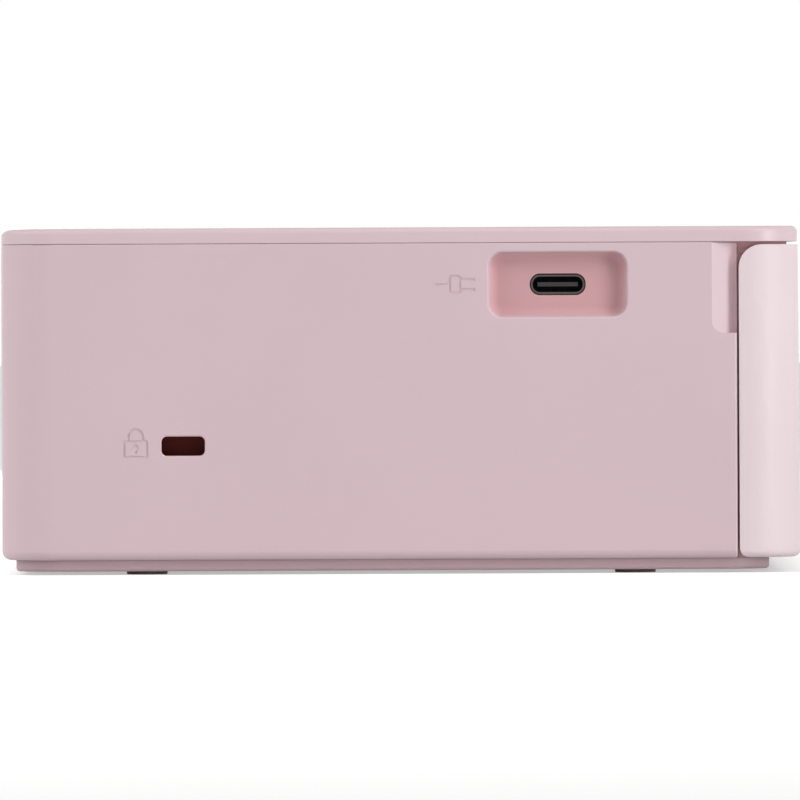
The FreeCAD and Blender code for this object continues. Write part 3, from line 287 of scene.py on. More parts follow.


# Rubber feet
# Four soft discs, glued into round recesses of the base plate.
# They are grey moulded rubber, dull; their grey is painted paler than the rubber's own, to make up for the
# light that the floor's shadow takes from them.

foot_rubber = moulded("foot_rubber", shade(168, 158, 152), shine=(0.78, 0.9), grain=2600.0, relief=0.06,
                      unevenness=0.14)
feet = finished("rubber_feet", foot_rubber, edge=0)
stands_for(feet, "case", "foot_rubber", "rubber_feet")


# Case screws
# Four countersunk-free pan screws that come up from below and pull the base plate to the case.
# They are turned steel, zinc plated, with a cross recess.

line_labels = ("Lines Along X", "Lines Along Y", "Lines Along Z")
drawn_metal, metal_in, metal_out = new_group(
    "drawn_metal",
    {**dict(zip(line_labels, (60.0, 2400.0, 2400.0))), "Shine Low": 0.24, "Shine High": 0.42},
    {"Colour": shade(205, 206, 208)},
    {"Colour": "Color", "Roughness": "Float", "Height": "Float"},
)
metal_place = place_in(drawn_metal)
metal_lengths = {axis: metal_in[label] for axis, label in enumerate(line_labels)}
metal_stretch = add(drawn_metal, "ShaderNodeCombineXYZ", metal_lengths).outputs["Vector"]
metal_scaled = vector_maths(drawn_metal, "MULTIPLY", {0: metal_place, 1: metal_stretch})
metal_lines = noise(drawn_metal, metal_scaled, 1.0, Detail=3.0)
metal_tone = spread(drawn_metal, noise(drawn_metal, metal_place, 60.0), 0.3, 0.7, 0.9, 1.04)
feed(drawn_metal, metal_out, {
    "Colour": vector_maths(drawn_metal, "SCALE", {0: metal_in["Colour"], "Scale": metal_tone}),
    "Roughness": spread(drawn_metal, metal_lines, 0.0, 1.0, metal_in["Shine Low"], metal_in["Shine High"]),
    "Height": metal_lines,
})


def metal(name, colour, along=(60, 2400, 2400), shine=(0.24, 0.42), relief=0.006):
    """A bare or plated metal with the fine lines that rolling, drawing or grinding leaves."""
    looks = dict(zip(line_labels, along))
    looks.update({"Colour": colour, "Shine Low": shine[0], "Shine High": shine[1]})
    finish = surfaced(name, drawn_metal, looks, 0.3, relief)
    surface_of(finish).inputs["Metallic"].default_value = 1.0
    return finish


def dress(material, *nodes):
    """Gives CAD parts that keep their own mesh a better finish."""
    for node in nodes:
        for slot in nodes_of_cad[node].material_slots:
            slot.material = material


screw_steel = metal("screw_steel", shade(188, 190, 194), along=(900, 900, 900), shine=(0.28, 0.4))
dress(screw_steel, "case_screws")


# Sheet-steel chassis
# Two side plates, a floor sheet and two tie bars that hold every roller in line.
# They are punched and bent from zinc plated sheet, which shows faint spangle and rolling lines.

zinc_sheet = metal("zinc_sheet", shade(196, 200, 204), along=(2200, 70, 2200), shine=(0.3, 0.48),
                   relief=0.01)
dress(zinc_sheet, "chassis_left_plate", "chassis_right_plate", "chassis_cross_members", "motor_bracket")
dress(zinc_sheet, "lock_plate")
spring_steel = metal("spring_steel", shade(176, 178, 182), along=(2600, 90, 2600), shine=(0.2, 0.34))
dress(spring_steel, "pinch_springs")


def geometry_tree(name, numbers):
    """A Geometry Nodes tree with named inputs for sizes, which takes and gives a mesh."""
    tree = bpy.data.node_groups.new(name, "GeometryNodeTree")
    tree.interface.new_socket("Geometry", in_out="INPUT", socket_type="NodeSocketGeometry")
    for label, (kind, value) in numbers.items():
        socket = tree.interface.new_socket(label, in_out="INPUT", socket_type="NodeSocket" + kind)
        if value is not None:
            socket.default_value = value
    tree.interface.new_socket("Geometry", in_out="OUTPUT", socket_type="NodeSocketGeometry")
    return tree, tree.nodes.new("NodeGroupInput").outputs, tree.nodes.new("NodeGroupOutput")


def laid_on_seeds(tree, tree_in, tree_out, shape, smooth=False):
    """Ends a tree: its shape lies on each seed point, is made real and gets its finish."""
    places = {"Points": tree_in["Geometry"], "Instance": shape}
    if "Turn" in tree_in:
        places["Rotation"] = tree_in["Turn"]
    copies = add(tree, "GeometryNodeInstanceOnPoints", places).outputs["Instances"]
    real = add(tree, "GeometryNodeRealizeInstances", {"Geometry": copies}).outputs["Geometry"]
    if smooth:
        real = add(tree, "GeometryNodeSetShadeSmooth", {"Geometry": real}).outputs["Geometry"]
    dressed = add(tree, "GeometryNodeSetMaterial", {"Geometry": real, "Material": tree_in["Finish"]})
    feed(tree, tree_out, {"Geometry": dressed.outputs["Geometry"]})


def grown(name, tree, seeds, **sizes):
    """A mesh that a tree makes from seed points, with its named sizes set."""
    mesh = bpy.data.meshes.new(name)
    mesh.from_pydata(seeds, [], [])
    piece = bpy.data.objects.new(name, mesh)
    bpy.context.scene.collection.objects.link(piece)
    maker = piece.modifiers.new("maker", "NODES")
    maker.node_group = tree
    for item in tree.interface.items_tree:
        if item.item_type == "SOCKET" and item.in_out == "INPUT":
            label = item.name.replace(" ", "_").lower()
            if label in sizes:
                maker[item.identifier] = sizes[label]
    return plain_mesh(piece)


# The cross-recess head of a small machine screw: a low cylinder less two crossed bars, on each seed point.
cross_heads, heads_in, heads_out = geometry_tree("cross_heads", {
    "Head Radius": ("Float", 0.0025), "Head Height": ("Float", 0.0011), "Recess Width": ("Float", 0.0006),
    "Turn": ("Vector", (0.0, 0.0, 0.0)), "Finish": ("Material", None),
})
head_disc = add(cross_heads, "GeometryNodeMeshCylinder",
                {"Vertices": 28, "Radius": heads_in["Head Radius"], "Depth": heads_in["Head Height"]})
bar_length = maths(cross_heads, "MULTIPLY", heads_in["Head Radius"], 1.15)
head_bars = add(cross_heads, "GeometryNodeJoinGeometry")
for bar_turn in (0, 1):
    bar_sizes = {bar_turn: bar_length, 1 - bar_turn: heads_in["Recess Width"], 2: heads_in["Head Height"]}
    bar_size = add(cross_heads, "ShaderNodeCombineXYZ", bar_sizes).outputs["Vector"]
    bar_cube = add(cross_heads, "GeometryNodeMeshCube", {"Size": bar_size})
    feed(cross_heads, head_bars, {"Geometry": bar_cube.outputs["Mesh"]})
head_drop = maths(cross_heads, "MULTIPLY", heads_in["Head Height"], 0.5)
head_shift = add(cross_heads, "ShaderNodeCombineXYZ", {"Z": head_drop}).outputs["Vector"]
head_raised = add(cross_heads, "GeometryNodeTransform",
                  {"Geometry": head_bars.outputs["Geometry"], "Translation": head_shift})
head_cut = add(cross_heads, "GeometryNodeMeshBoolean",
               {"Mesh 1": head_disc.outputs["Mesh"], "Mesh 2": head_raised.outputs["Geometry"]},
               operation="DIFFERENCE")
laid_on_seeds(cross_heads, heads_in, heads_out, head_cut.outputs["Mesh"])

floor_screws = grown("floor_screws", cross_heads,
                     [(x, y, 0.0055) for x in (-0.044, 0.054) for y in (-0.040, 0.050)],
                     head_radius=0.0025, head_height=0.0011, recess_width=0.0006,
                     turn=(0.0, 0.0, 0.6), finish=screw_steel)
stands_for(floor_screws, "case", "shaft_steel")


# Bearings
# Plain bushes pressed into the side plates, in which the rollers and spindles turn.
# They are moulded in a pale acetal that needs no oil.

bush_acetal = moulded("bush_acetal", shade(222, 216, 200), shine=(0.32, 0.42), grain=1800.0, relief=0.008)
dress(bush_acetal, "shaft_bushes")


# Paper guides
# The sheet that carries the paper from the bay to the back slot, and the one above it.
# They are moulded in a slippery dark grey plastic, polished where the paper slides.

guide_plastic = moulded("guide_plastic", shade(92, 89, 92), shine=(0.3, 0.44), grain=2600.0, relief=0.012)
dress(guide_plastic, "paper_guides")


# Rollers
# Capstan, pinch roller, platen core and pick-up shaft, turned and ground from steel bar.
# The platen and the pick-up shaft wear ground rubber sleeves, dull and very finely grooved round.

ground_steel = metal("ground_steel", shade(200, 202, 205), along=(5200, 40, 40), shine=(0.16, 0.3),
                     relief=0.004)
dress(ground_steel, "capstan_roller", "pinch_roller", "platen_shaft", "pickup_shaft")
roller_rubber = moulded("roller_rubber", shade(60, 58, 59), shine=(0.72, 0.86), grain=7000.0, relief=0.05,
                        unevenness=0.16)
dress(roller_rubber, "platen_rubber", "pickup_tyres")


# Gear trains and motors
# Moulded gears on the left of the chassis, driven by small motors through brass pinions.
# The gears are ivory acetal and the motor cans are drawn from zinc plated sheet.

gear_acetal = moulded("gear_acetal", shade(228, 223, 208), shine=(0.3, 0.4), grain=1500.0, relief=0.006)
dress(gear_acetal, "capstan_gear", "pickup_gear", "reduction_gear")
pinion_brass = metal("pinion_brass", shade(205, 174, 110), along=(60, 1800, 1800), shine=(0.2, 0.34))
dress(pinion_brass, "feed_pinion", "ribbon_pinion")
motor_can = metal("motor_can", shade(186, 190, 196), along=(90, 900, 900), shine=(0.26, 0.44), relief=0.008)
dress(motor_can, "feed_motor", "ribbon_motor")
spindle_plastic = moulded("spindle_plastic", shade(74, 74, 80), shine=(0.34, 0.46), grain=1800.0,
                          relief=0.01)
dress(spindle_plastic, "takeup_spindle", "supply_spindle")


# Ink cassette
# Two tubes joined by webs, with a spool in each and the dye film stretched between them.
# The case is moulded in a milky grey plastic with a ribbed grip, and its spools are paler.

cassette_plastic = moulded("cassette_plastic", shade(206, 208, 214), shine=(0.28, 0.38), grain=2200.0,
                           relief=0.012)
dress(cassette_plastic, "ink_cassette")
spool_plastic = moulded("spool_plastic", shade(232, 231, 226), shine=(0.3, 0.4), grain=1600.0, relief=0.006)
dress(spool_plastic, "takeup_spool", "supply_spool")

# Rounded ribs: a rod with domed ends laid on each seed point, half sunk in what carries it.
rounded_ribs, ribs_in, ribs_out = geometry_tree("rounded_ribs", {
    "Rib Way": ("Vector", (0.0, 0.01, 0.0)), "Rib Radius": ("Float", 0.0006), "Finish": ("Material", None),
})
rib_line = add(rounded_ribs, "GeometryNodeCurvePrimitiveLine", {"End": ribs_in["Rib Way"]})
rib_steps = add(rounded_ribs, "GeometryNodeResampleCurve", {"Count": 25, "Curve": rib_line.outputs["Curve"]})
rib_along = add(rounded_ribs, "GeometryNodeSplineParameter").outputs["Factor"]
rib_dome = add(rounded_ribs, "ShaderNodeFloatCurve", {"Value": rib_along})
dome_curve = rib_dome.mapping.curves[0]
for dome_place, dome_level in ((0.04, 0.8), (0.1, 1.0), (0.9, 1.0), (0.96, 0.8)):
    dome_curve.points.new(dome_place, dome_level)
dome_curve.points[0].location = (0.0, 0.05)
dome_curve.points[-1].location = (1.0, 0.05)
rib_dome.mapping.update()
rib_thick = maths(rounded_ribs, "MULTIPLY", rib_dome.outputs["Value"], ribs_in["Rib Radius"])
rib_profile = add(rounded_ribs, "GeometryNodeCurvePrimitiveCircle", {"Resolution": 14, "Radius": 1.0})
rib_skin = add(rounded_ribs, "GeometryNodeCurveToMesh", {
    "Curve": rib_steps.outputs["Curve"], "Profile Curve": rib_profile.outputs["Curve"],
    "Scale": rib_thick, "Fill Caps": True,
})
laid_on_seeds(rounded_ribs, ribs_in, ribs_out, rib_skin.outputs["Mesh"], smooth=True)

grip_left, grip_right = 0.0675, 0.0770
grip_ribs = grown("grip_ribs", rounded_ribs,
                  [(grip_left, 0.0140 + step * 0.00225, 0.0355) for step in range(9)],
                  rib_way=(grip_right - grip_left, 0.0, 0.0), rib_radius=0.0006, finish=cassette_plastic)
stands_for(grip_ribs, "cassette", "cassette_plastic")

# The film carries panels of yellow, magenta and cyan dye side by side.
film_dyes, dyes_in, dyes_out = new_group(
    "film_dyes",
    {"Panel Length": 0.0075, "Shine Low": 0.12, "Shine High": 0.22},
    {},
    {"Colour": "Color", "Roughness": "Float"},
)
dye_place = place_in(film_dyes)
dye_count = maths(film_dyes, "DIVIDE", axes_of(film_dyes, dye_place)["Y"], dyes_in["Panel Length"])
dye_step = maths(film_dyes, "MULTIPLY", maths(film_dyes, "PINGPONG", dye_count, 2.5), 0.4)
dye_bands = add(film_dyes, "ShaderNodeValToRGB", {"Fac": dye_step})
dye_stops = dye_bands.color_ramp
dye_stops.interpolation = "CONSTANT"
dye_stops.elements[0].color = shade(206, 176, 44)
dye_stops.elements[1].position = 0.34
dye_stops.elements[1].color = shade(158, 44, 92)
dye_stops.elements.new(0.68).color = shade(34, 92, 148)
dye_waves = noise(film_dyes, dye_place, 240.0)
feed(film_dyes, dyes_out, {
    "Colour": dye_bands.outputs["Color"],
    "Roughness": spread(film_dyes, dye_waves, 0.0, 1.0, dyes_in["Shine Low"], dyes_in["Shine High"]),
})
dress(surfaced("dye_film", film_dyes, {}), "ribbon_film")


# Eject lever
# A flat stem with a thumb tab and a ramp that pushes the ink cassette out.
# It is moulded in a grey-blue plastic, so that the user finds it behind the door.

lever_plastic = moulded("lever_plastic", shade(112, 136, 160), shine=(0.34, 0.44), grain=2400.0,
                        relief=0.012)
dress(lever_plastic, "eject_lever")


# Print head
# A glazed ceramic bar with its row of heaters, on a finned aluminium block in a plastic carrier.
# The carrier's steel-hard pins ride in the slots of the side plates.

head_ceramic = moulded("head_ceramic", shade(226, 224, 216), shine=(0.12, 0.2), grain=900.0, relief=0.003)
dress(head_ceramic, "print_head")
extruded_aluminium = metal("extruded_aluminium", shade(198, 202, 208), along=(50, 2600, 2600),
                           shine=(0.3, 0.46))
dress(extruded_aluminium, "head_heatsink")
carrier_plastic = moulded("carrier_plastic", shade(64, 64, 68), shine=(0.46, 0.58), grain=3200.0,
                          relief=0.025)
dress(carrier_plastic, "head_carrier")


# Boards
# The main board under the lid, the keypad board under the keys and the power board at the jack.
# They are glass-fibre sheet with a green mask over copper tracks, which stand out a little.

board_skin, board_in, board_out = new_group(
    "board_skin",
    {"Track Size": 520.0, "Sleeve Above": 1.0},
    {"Mask": shade(40, 104, 62), "Track": shade(74, 142, 82), "Sleeve": shade(44, 46, 60)},
    {"Colour": "Color", "Roughness": "Float", "Height": "Float"},
)
board_place = place_in(board_skin)
board_tracks = add(board_skin, "ShaderNodeTexVoronoi",
                   {"Vector": board_place, "Scale": board_in["Track Size"]},
                   distance="MANHATTAN", feature="F1").outputs["Distance"]
board_rings = maths(board_skin, "SINE", maths(board_skin, "MULTIPLY", board_tracks, 26.0))
board_edge = spread(board_skin, board_rings, 0.1, 0.4, 0.0, 1.0)
board_copper = blended(board_skin, board_edge, board_in["Mask"], board_in["Track"])
board_height = axes_of(board_skin, board_place)["Z"]
board_above = maths(board_skin, "GREATER_THAN", board_height, board_in["Sleeve Above"])
feed(board_skin, board_out, {
    "Colour": blended(board_skin, board_above, board_copper, board_in["Sleeve"]),
    "Roughness": spread(board_skin, board_edge, 0.0, 1.0, 0.42, 0.3),
    "Height": board_edge,
})


def board_finish(name, sleeve_above=1.0):
    """The green surface of a circuit board, and the sleeves of what stands on it above a height."""
    return surfaced(name, board_skin, {"Sleeve Above": sleeve_above}, 0.4, 0.04)


dress(board_finish("board_mask"), "main_board", "keypad_board")
dress(board_finish("power_board_mask", sleeve_above=0.00655), "power_board")
chip_epoxy = moulded("chip_epoxy", shade(46, 46, 48), shine=(0.5, 0.62), grain=4200.0, relief=0.01)
dress(chip_epoxy, "board_chips", "dc_jack")

# Legs of the flat chips: a foot on the board and a shoulder at the package, on each seed point.
chip_legs, legs_in, legs_out = geometry_tree("chip_legs", {
    "Leg Width": ("Float", 0.00032), "Leg Reach": ("Float", 0.0008), "Leg Thickness": ("Float", 0.00016),
    "Turn": ("Vector", (0.0, 0.0, 0.0)), "Finish": ("Material", None),
})
leg_parts = []
leg_thick = legs_in["Leg Thickness"]
for leg_depth, leg_rise in ((legs_in["Leg Reach"], leg_thick), (leg_thick, 0.0005)):
    leg_extent = {"X": legs_in["Leg Width"], "Y": leg_depth, "Z": leg_rise}
    leg_size = add(chip_legs, "ShaderNodeCombineXYZ", leg_extent)
    leg_cube = add(chip_legs, "GeometryNodeMeshCube", {"Size": leg_size.outputs["Vector"]})
    leg_parts.append(leg_cube.outputs["Mesh"])
leg_foot, leg_shoulder = leg_parts
leg_lift = add(chip_legs, "GeometryNodeTransform",
               {"Translation": (0.0, -0.0003, 0.00025), "Geometry": leg_shoulder})
leg_whole = add(chip_legs, "GeometryNodeJoinGeometry", {"Geometry": leg_foot})
feed(chip_legs, leg_whole, {"Geometry": leg_lift.outputs["Geometry"]})
laid_on_seeds(chip_legs, legs_in, legs_out, leg_whole.outputs["Geometry"])

tinned = metal("tinned", shade(204, 205, 204), along=(500, 500, 500), shine=(0.22, 0.36))
board_top = 0.0464
leg_height = board_top + 0.00008
leg_pitch = 0.0008
leg_out = 0.0004
row_margins = 0.0012
chip_places = ((-0.020, -0.034, 0.014, 0.014), (0.004, -0.032, 0.010, 0.012), (0.030, -0.036, 0.012, 0.009))
for leg_side, leg_turn in (("front", math.pi), ("back", 0.0)):
    leg_seeds = []
    for chip_x, chip_y, chip_width, chip_depth in chip_places:
        leg_y = chip_y - leg_out if leg_side == "front" else chip_y + chip_depth + leg_out
        leg_count = int((chip_width - row_margins) / leg_pitch)
        leg_columns = [chip_x + leg_pitch + step * leg_pitch for step in range(leg_count)]
        leg_seeds += [(leg_x, leg_y, leg_height) for leg_x in leg_columns]
    chip_row = grown("chip_legs_" + leg_side, chip_legs, leg_seeds, leg_width=0.00032, leg_reach=0.0008,
                     leg_thickness=0.00016, turn=(0.0, 0.0, leg_turn), finish=tinned)
    stands_for(chip_row, "case", "socket_steel")


# Sockets
# The port socket at the left wall and the card socket at the right one, folded from tinned steel.
# The port socket holds a dark plastic tongue. Only a thin lip at each outer mouth shows steel, painted dark
# and pinkish; past it the sockets are painted near black and not metallic, as the shade inside them.

# Painted shade: dark pinkish steel at the lip and near black past it, for the shade inside the sockets.
socket_mouth, mouth_in, mouth_out = new_group(
    "socket_mouth",
    {"Left Mouth": 0.0, "Right Mouth": 0.0, "Lip": 0.00025},
    {"Steel": shade(92, 82, 82), "Inside": shade(16, 10, 10)},
    {"Colour": "Color", "Metallic": "Float", "Roughness": "Float"},
)
mouth_place = place_in(socket_mouth)
mouth_across = axes_of(socket_mouth, mouth_place)["X"]
mouth_sides = []
for mouth_label, mouth_sign in (("Left Mouth", 1), ("Right Mouth", -1)):
    mouth_from = maths(socket_mouth, "SUBTRACT", mouth_across, mouth_in[mouth_label])
    mouth_way = maths(socket_mouth, "MULTIPLY", mouth_from, mouth_sign)
    mouth_sides.append(maths(socket_mouth, "GREATER_THAN", mouth_way, mouth_in["Lip"]))
mouth_shade_mask = maths(socket_mouth, "MULTIPLY", *mouth_sides)
feed(socket_mouth, mouth_out, {
    "Colour": blended(socket_mouth, mouth_shade_mask, mouth_in["Steel"], mouth_in["Inside"]),
    "Metallic": spread(socket_mouth, mouth_shade_mask, 0.0, 1.0, 1.0, 0.0),
    "Roughness": spread(socket_mouth, noise(socket_mouth, mouth_place, 2600.0), 0.3, 0.7, 0.40, 0.56),
})

socket_mouths = {"Left Mouth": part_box("board_sockets")[0][0], "Right Mouth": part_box("board_sockets")[1][0]}
socket_steel = surfaced("socket_steel", socket_mouth, socket_mouths)
feed(socket_steel.node_tree, surface_of(socket_steel), {
    "Metallic": socket_steel.node_tree.nodes["look"].outputs["Metallic"], "Specular IOR Level": 0.2,
})
dress(socket_steel, "board_sockets")
tongue_plastic = moulded("tongue_plastic", shade(34, 29, 30), shine=(0.4, 0.5), grain=2400.0, relief=0.01)
dress(tongue_plastic, "usb_tongue")


# Paper bay
# The box behind the front cover that takes the paper cassette.
# It is moulded in grey plastic with rounded ribs on its floor, on which the cassette slides.

bay_plastic = moulded("bay_plastic", shade(126, 121, 123), shine=(0.42, 0.54), grain=3000.0, relief=0.03)
dress(bay_plastic, "paper_bay")
bay_runners = grown("bay_runners", rounded_ribs,
                    [(0.006 + step * 0.014, -0.0565, 0.0060) for step in range(-3, 4)],
                    rib_way=(0.0, 0.0385, 0.0), rib_radius=0.0006, finish=bay_plastic)
stands_for(bay_runners, "case", "guide_plastic")


# Case
# The side and back walls in one moulding, open in front and above, with the port recess on the left,
# the lock slot and its engraved sign, the finger scoops, and the slots for paper and air at the back.

# Painted shade: its hollows and slits are painted redder, and the bottoms of its deep pockets on the left
# dark.
pink_case = moulded("pink_case", shade(209, 185, 192), shine=(0.42, 0.5), relief=0.014, unevenness=0.03,
                    hollow=shade(204, 160, 164))
scoop_rear = -0.0517
case_walls = finished("body_shell", pink_case, edge=0.1, turn=42, crease_y=scoop_rear)
stands_for(case_walls, "case", "case_plastic", "body_shell")


# Front frame
# The surround of the paper bay, which carries the pins of the front cover.
# It is moulded in the case's pink plastic and shows round the cover's edges when the cover is down.
# Its pink is painted a little redder than the case's, for the red bounce light in the slits round the cover.

pink_frame = moulded("pink_frame", shade(213, 178, 182), shine=(0.6, 0.7), relief=0.02)
surface_of(pink_frame).inputs["Specular IOR Level"].default_value = 0.2
dress(pink_frame, "front_frame")


# Ink door
# A flap in the right wall that swings down on two pins, so that the ink cassette can be changed.
# It is moulded in the pink plastic with two stiffening ribs and a latch at its upper edge.

ink_flap = finished("ink_door", pink_case, edge=0.18)
stands_for(ink_flap, "ink_door", "case_plastic", "ink_door")


# Battery cover
# A small plate that closes the battery bay in the back wall and slides off sideways.
# It is moulded in the pink plastic.

battery_plate = finished("battery_cover", pink_case, edge=0.2)
stands_for(battery_plate, "case", "case_plastic", "battery_cover")


# Front cover
# The flap over the paper bay, wrapped round both sides of the case and hinged at its foot on two
# steel pins. It is moulded in the pink plastic, with soft edges where it meets the side walls.

# Painted shade: its hollows and the slits round its edges are painted redder by depth.
pink_cover = moulded("pink_cover", shade(223, 207, 211), shine=(0.40, 0.48), relief=0.014, unevenness=0.03,
                     hollow=shade(217, 192, 197))
surface_of(pink_cover).inputs["Specular IOR Level"].default_value = 0.3
front_flap = finished("front_cover", pink_cover, edge=0.3, steps=3)
stands_for(front_flap, "front_cover", "case_plastic", "front_cover")
dress(screw_steel, "front_cover_pins")


# Lid
# One plate over the whole case, with the screen opening and the key holes.
# It is moulded in the pink plastic with a rounded upper edge, and clips in by its rim.

# Painted shade: its rim and hollows, which lie deep inside the case's outline, are painted redder.
pink_lid = moulded("pink_lid", shade(212, 190, 195), shine=(0.31, 0.39), relief=0.014, unevenness=0.03,
                   hollow=shade(204, 160, 164))
surface_of(pink_lid).inputs["Specular IOR Level"].default_value = 0.4
lid_plate = finished("top_cover", pink_lid, edge=0.1)
stands_for(lid_plate, "case", "case_plastic", "top_cover")


# Screen
# A thin display panel under the lid, behind a dark window that lies flush in it.
# The window is clear plastic printed black round its edge, and the panel behind it is switched off.

screen_panel = moulded("screen_panel", shade(40, 42, 46), shine=(0.3, 0.4), grain=1500.0, relief=0.004)
dress(screen_panel, "screen_module")
dark_glass, glass_in, glass_out = new_group(
    "dark_glass",
    {"Half Width": 0.0355, "Half Depth": 0.0268, "Middle X": -0.025, "Middle Y": -0.011},
    {"Border": shade(18, 17, 19), "Panel": shade(33, 35, 40)},
    {"Colour": "Color", "Roughness": "Float"},
)
glass_place = place_in(dark_glass)
glass_axes = axes_of(dark_glass, glass_place)
glass_sides = []
for glass_axis, glass_half in (("X", "Half Width"), ("Y", "Half Depth")):
    glass_from = maths(dark_glass, "SUBTRACT", glass_axes[glass_axis], glass_in["Middle " + glass_axis])
    glass_far = maths(dark_glass, "ABSOLUTE", glass_from)
    glass_sides.append(maths(dark_glass, "LESS_THAN", glass_far, glass_in[glass_half]))
glass_inside = maths(dark_glass, "MULTIPLY", *glass_sides)
glass_smears = noise(dark_glass, glass_place, 70.0, Detail=5.0)
feed(dark_glass, glass_out, {
    "Colour": blended(dark_glass, glass_inside, glass_in["Border"], glass_in["Panel"]),
    "Roughness": spread(dark_glass, glass_smears, 0.35, 0.75, 0.06, 0.13),
})
window_glass = surfaced("window_glass", dark_glass, {})
surface_of(window_glass).inputs["IOR"].default_value = 1.49
dress(window_glass, "screen_window")


# Keys
# Nine caps that come up through the lid and rest on small switches: power, home, back, four
# directions round a middle key, and print. They are moulded in a slightly paler satin plastic,
# with plain signs printed on them.

pink_key = moulded("pink_key", shade(228, 208, 213), shine=(0.34, 0.42), relief=0.01)
printed_sign = moulded("printed_sign", shade(150, 124, 134), shine=(0.5, 0.6), relief=0.004)
ink_thickness = 0.00005
line_width = 0.00032
sharpest_mitre = 0.4


def stroke(raw, points, width, top, closed=False):
    """Adds a printed line of even width through points, as a thin ribbon under a height."""
    rows = []
    for place, point in enumerate(points):
        here = Vector(point)
        inward = here - Vector(points[place - 1]) if closed or place else None
        last = place == len(points) - 1
        outward = Vector(points[(place + 1) % len(points)]) - here if closed or not last else None
        ways = [way.normalized() for way in (inward, outward) if way is not None]
        across = [Vector((-way.y, way.x)) for way in ways]
        mitre = sum(across, Vector((0, 0))).normalized()
        reach = width / 2 / max(mitre.dot(across[0]), sharpest_mitre)
        row = []
        for side, height in ((1, top), (-1, top), (-1, top - ink_thickness), (1, top - ink_thickness)):
            corner = here + mitre * reach * side
            row.append(raw.verts.new((corner.x, corner.y, height)))
        rows.append(row)
    pairs = list(zip(rows, rows[1:]))
    if closed:
        pairs.append((rows[-1], rows[0]))
    else:
        raw.faces.new(rows[0])
        raw.faces.new(list(reversed(rows[-1])))
    for first, second in pairs:
        for side in range(4):
            after = (side + 1) % 4
            raw.faces.new((first[after], first[side], second[side], second[after]))


def arc(radius, start, end, steps, closed=False):
    """Points of an arc round the origin, its angles in degrees from the right."""
    count = steps if closed else steps + 1
    angles = [math.radians(start + (end - start) * step / steps) for step in range(count)]
    return [(radius * math.cos(angle), radius * math.sin(angle)) for angle in angles]


def chevron(way, reach):
    """The three points of an arrow head that points along X or Y."""
    x, y = way
    return [(-x * reach / 2 - y * reach, -y * reach / 2 - x * reach), (x * reach / 2, y * reach / 2),
            (-x * reach / 2 + y * reach, -y * reach / 2 + x * reach)]


sheet_sign = [(-0.0016, -0.0021), (0.0016, -0.0021), (0.0016, 0.0009), (0.0005, 0.0021), (-0.0016, 0.0021)]
house_sign = [(-0.0015, -0.0014), (0.0015, -0.0014), (0.0015, 0.0002), (0.0, 0.0016), (-0.0015, 0.0002)]
bent_shaft = [(-0.0014, 0.0005), (0.0014, 0.0005), (0.0018, -0.0004), (0.0012, -0.0014), (-0.0004, -0.0014)]
key_signs = {
    "power": [(arc(0.0017, 125, 415, 30), False), ([(0.0, 0.0004), (0.0, 0.0023)], False)],
    "home": [(house_sign, True)],
    "back": [([(-0.0002, 0.0015), (-0.0016, 0.0005), (-0.0002, -0.0005)], False),
             (bent_shaft, False)],
    "up": [(chevron((0, 1), 0.0011), False)],
    "down": [(chevron((0, -1), 0.0011), False)],
    "left": [(chevron((-1, 0), 0.0011), False)],
    "right": [(chevron((1, 0), 0.0011), False)],
    "ok": [(arc(0.0016, 0, 360, 36, closed=True), True)],
    "print": [(sheet_sign, True), ([(0.0005, 0.0021), (0.0005, 0.0009), (0.0016, 0.0009)], False)],
}
ok_low, ok_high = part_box("ok_key")
ok_middle = ((ok_low[0] + ok_high[0]) / 2, (ok_low[1] + ok_high[1]) / 2)
ok_radius = (ok_high[0] - ok_low[0]) / 2
pad_middle = (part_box("right_key")[1][0] - ok_middle[0] + ok_radius) / 2
pad_places = {"up": (0, 1), "down": (0, -1), "left": (-1, 0), "right": (1, 0)}
for key_name, sign_lines in key_signs.items():
    key_low, key_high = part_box(key_name + "_key")
    key_cap = finished(key_name + "_key", pink_key, edge=0)
    lowered = 1 - ink_thickness / (key_high[2] - key_low[2])
    for corner in key_cap.data.vertices:
        corner.co.z = key_low[2] + (corner.co.z - key_low[2]) * lowered
    stands_for(key_cap, key_name + "_key_cap", "key_plastic", key_name + "_key")
    sign_x, sign_y = (key_low[0] + key_high[0]) / 2, (key_low[1] + key_high[1]) / 2
    if key_name in pad_places:
        sign_x = ok_middle[0] + pad_places[key_name][0] * pad_middle
        sign_y = ok_middle[1] + pad_places[key_name][1] * pad_middle
    raw_sign = bmesh.new()
    for points, closed in sign_lines:
        placed = [(sign_x + x, sign_y + y) for x, y in points]
        stroke(raw_sign, placed, line_width, key_high[2], closed)
    bmesh.ops.recalc_face_normals(raw_sign, faces=raw_sign.faces)
    sign_mesh = bpy.data.meshes.new(key_name + "_sign")
    raw_sign.to_mesh(sign_mesh)
    raw_sign.free()
    sign_mesh.materials.append(printed_sign)
    key_sign = bpy.data.objects.new(key_name + "_sign", sign_mesh)
    bpy.context.scene.collection.objects.link(key_sign)
    stands_for(key_sign, key_name + "_key_cap", "key_plastic")


# Stage
# A plain pale floor and a soft studio light, so that the plastic shows its own colour.

floor_size = 6.0
floor_mesh = bpy.data.meshes.new("floor")
floor_corners = [(x * floor_size, y * floor_size, 0) for x, y in ((-1, -1), (1, -1), (1, 1), (-1, 1))]
floor_mesh.from_pydata(floor_corners, [], [(0, 1, 2, 3)])
floor = bpy.data.objects.new("floor", floor_mesh)
bpy.context.scene.collection.objects.link(floor)


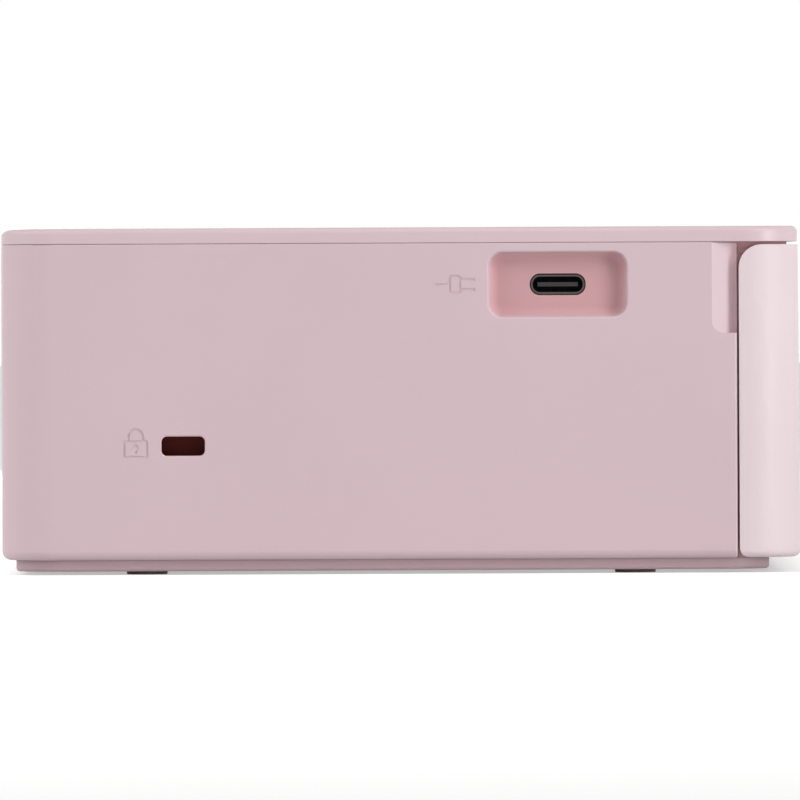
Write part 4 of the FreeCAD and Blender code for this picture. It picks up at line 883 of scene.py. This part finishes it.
def background_rays(tree):
    """One for the rays that show the background: from the camera, off gloss and through glass."""
    rays = add(tree, "ShaderNodeLightPath").outputs
    seen = maths(tree, "ADD", rays["Is Camera Ray"], rays["Is Glossy Ray"])
    every = {0: seen, 1: rays["Is Transmission Ray"]}
    return add(tree, "ShaderNodeMath", every, operation="ADD", use_clamp=True).outputs["Value"]


floor_paper = bpy.data.materials.new("floor_paper")
floor_paper.use_nodes = True
floor_light = 0.45
paper_glow = maths(floor_paper.node_tree, "MULTIPLY", background_rays(floor_paper.node_tree), floor_light)
feed(floor_paper.node_tree, surface_of(floor_paper), {
    "Base Color": (0.74, 0.74, 0.74, 1), "Roughness": 0.9,
    "Emission Color": (1, 1, 1, 1), "Emission Strength": paper_glow,
})
floor_mesh.materials.append(floor_paper)

world = bpy.data.worlds.new("studio")
bpy.context.scene.world = world
world.use_nodes = True
sky = world.node_tree
sky.nodes.clear()
sky_fill = add(sky, "ShaderNodeBackground", {"Color": (1.0, 0.985, 0.975, 1), "Strength": 0.24})
sky_white = add(sky, "ShaderNodeBackground", {"Color": (1, 1, 1, 1), "Strength": 1.0})
sky_pick = add(sky, "ShaderNodeMixShader", {
    "Fac": background_rays(sky), 1: sky_fill.outputs["Background"], 2: sky_white.outputs["Background"],
})
add(sky, "ShaderNodeOutputWorld", {"Surface": sky_pick.outputs["Shader"]})


def soft_box(name, place, aim, size, watts):
    """A square studio lamp that looks at a point."""
    lamp = bpy.data.lights.new(name, "AREA")
    lamp.shape = "SQUARE"
    lamp.size = size
    lamp.energy = watts
    holder = bpy.data.objects.new(name, lamp)
    bpy.context.scene.collection.objects.link(holder)
    holder.location = place
    away = [place[axis] - aim[axis] for axis in range(3)]
    reach = math.hypot(away[0], away[1])
    holder.rotation_euler = (math.atan2(reach, away[2]), 0, math.atan2(away[1], away[0]) + math.pi / 2)
    return holder


left_wall, right_wall = (-0.09, 0, 0.03), (0.09, 0, 0.03)
soft_box("key_light", (-0.73, -0.78, 0.72), left_wall, 0.6, 6.0)
soft_box("front_light", (-0.90, -1.23, 0.12), left_wall, 0.4, 8.2)
soft_box("rim_light", (-0.42, 1.22, 0.62), left_wall, 1.3, 11.6)
soft_box("top_light", (-0.45, 0.1, 1.2), left_wall, 0.5, 1.4)
soft_box("side_light", (1.3, 0.3, 0.34), right_wall, 0.5, 7.0)

# The camera looks at the left side from just below the height of the lid, with a long lens.
camera_reach = 3.0
camera_height = 0.052
camera_side = 0.00005
camera_roll = 0.25
aim_height = 0.02892
camera = bpy.data.cameras.new("camera")
camera.lens = 813.0
camera.sensor_width = 36
camera.sensor_fit = "HORIZONTAL"
camera.clip_start = 0.05
camera.clip_end = 20
camera_holder = bpy.data.objects.new("camera", camera)
bpy.context.scene.collection.objects.link(camera_holder)
camera_holder.location = (cad_low[0] - camera_reach, camera_side, camera_height)
camera_dip = math.atan2(camera_height - aim_height, camera_reach)
camera_holder.rotation_euler = (math.radians(90) - camera_dip, math.radians(camera_roll), math.radians(-90))
bpy.context.scene.camera = camera_holder
bpy.context.scene.view_settings.view_transform = "Standard"
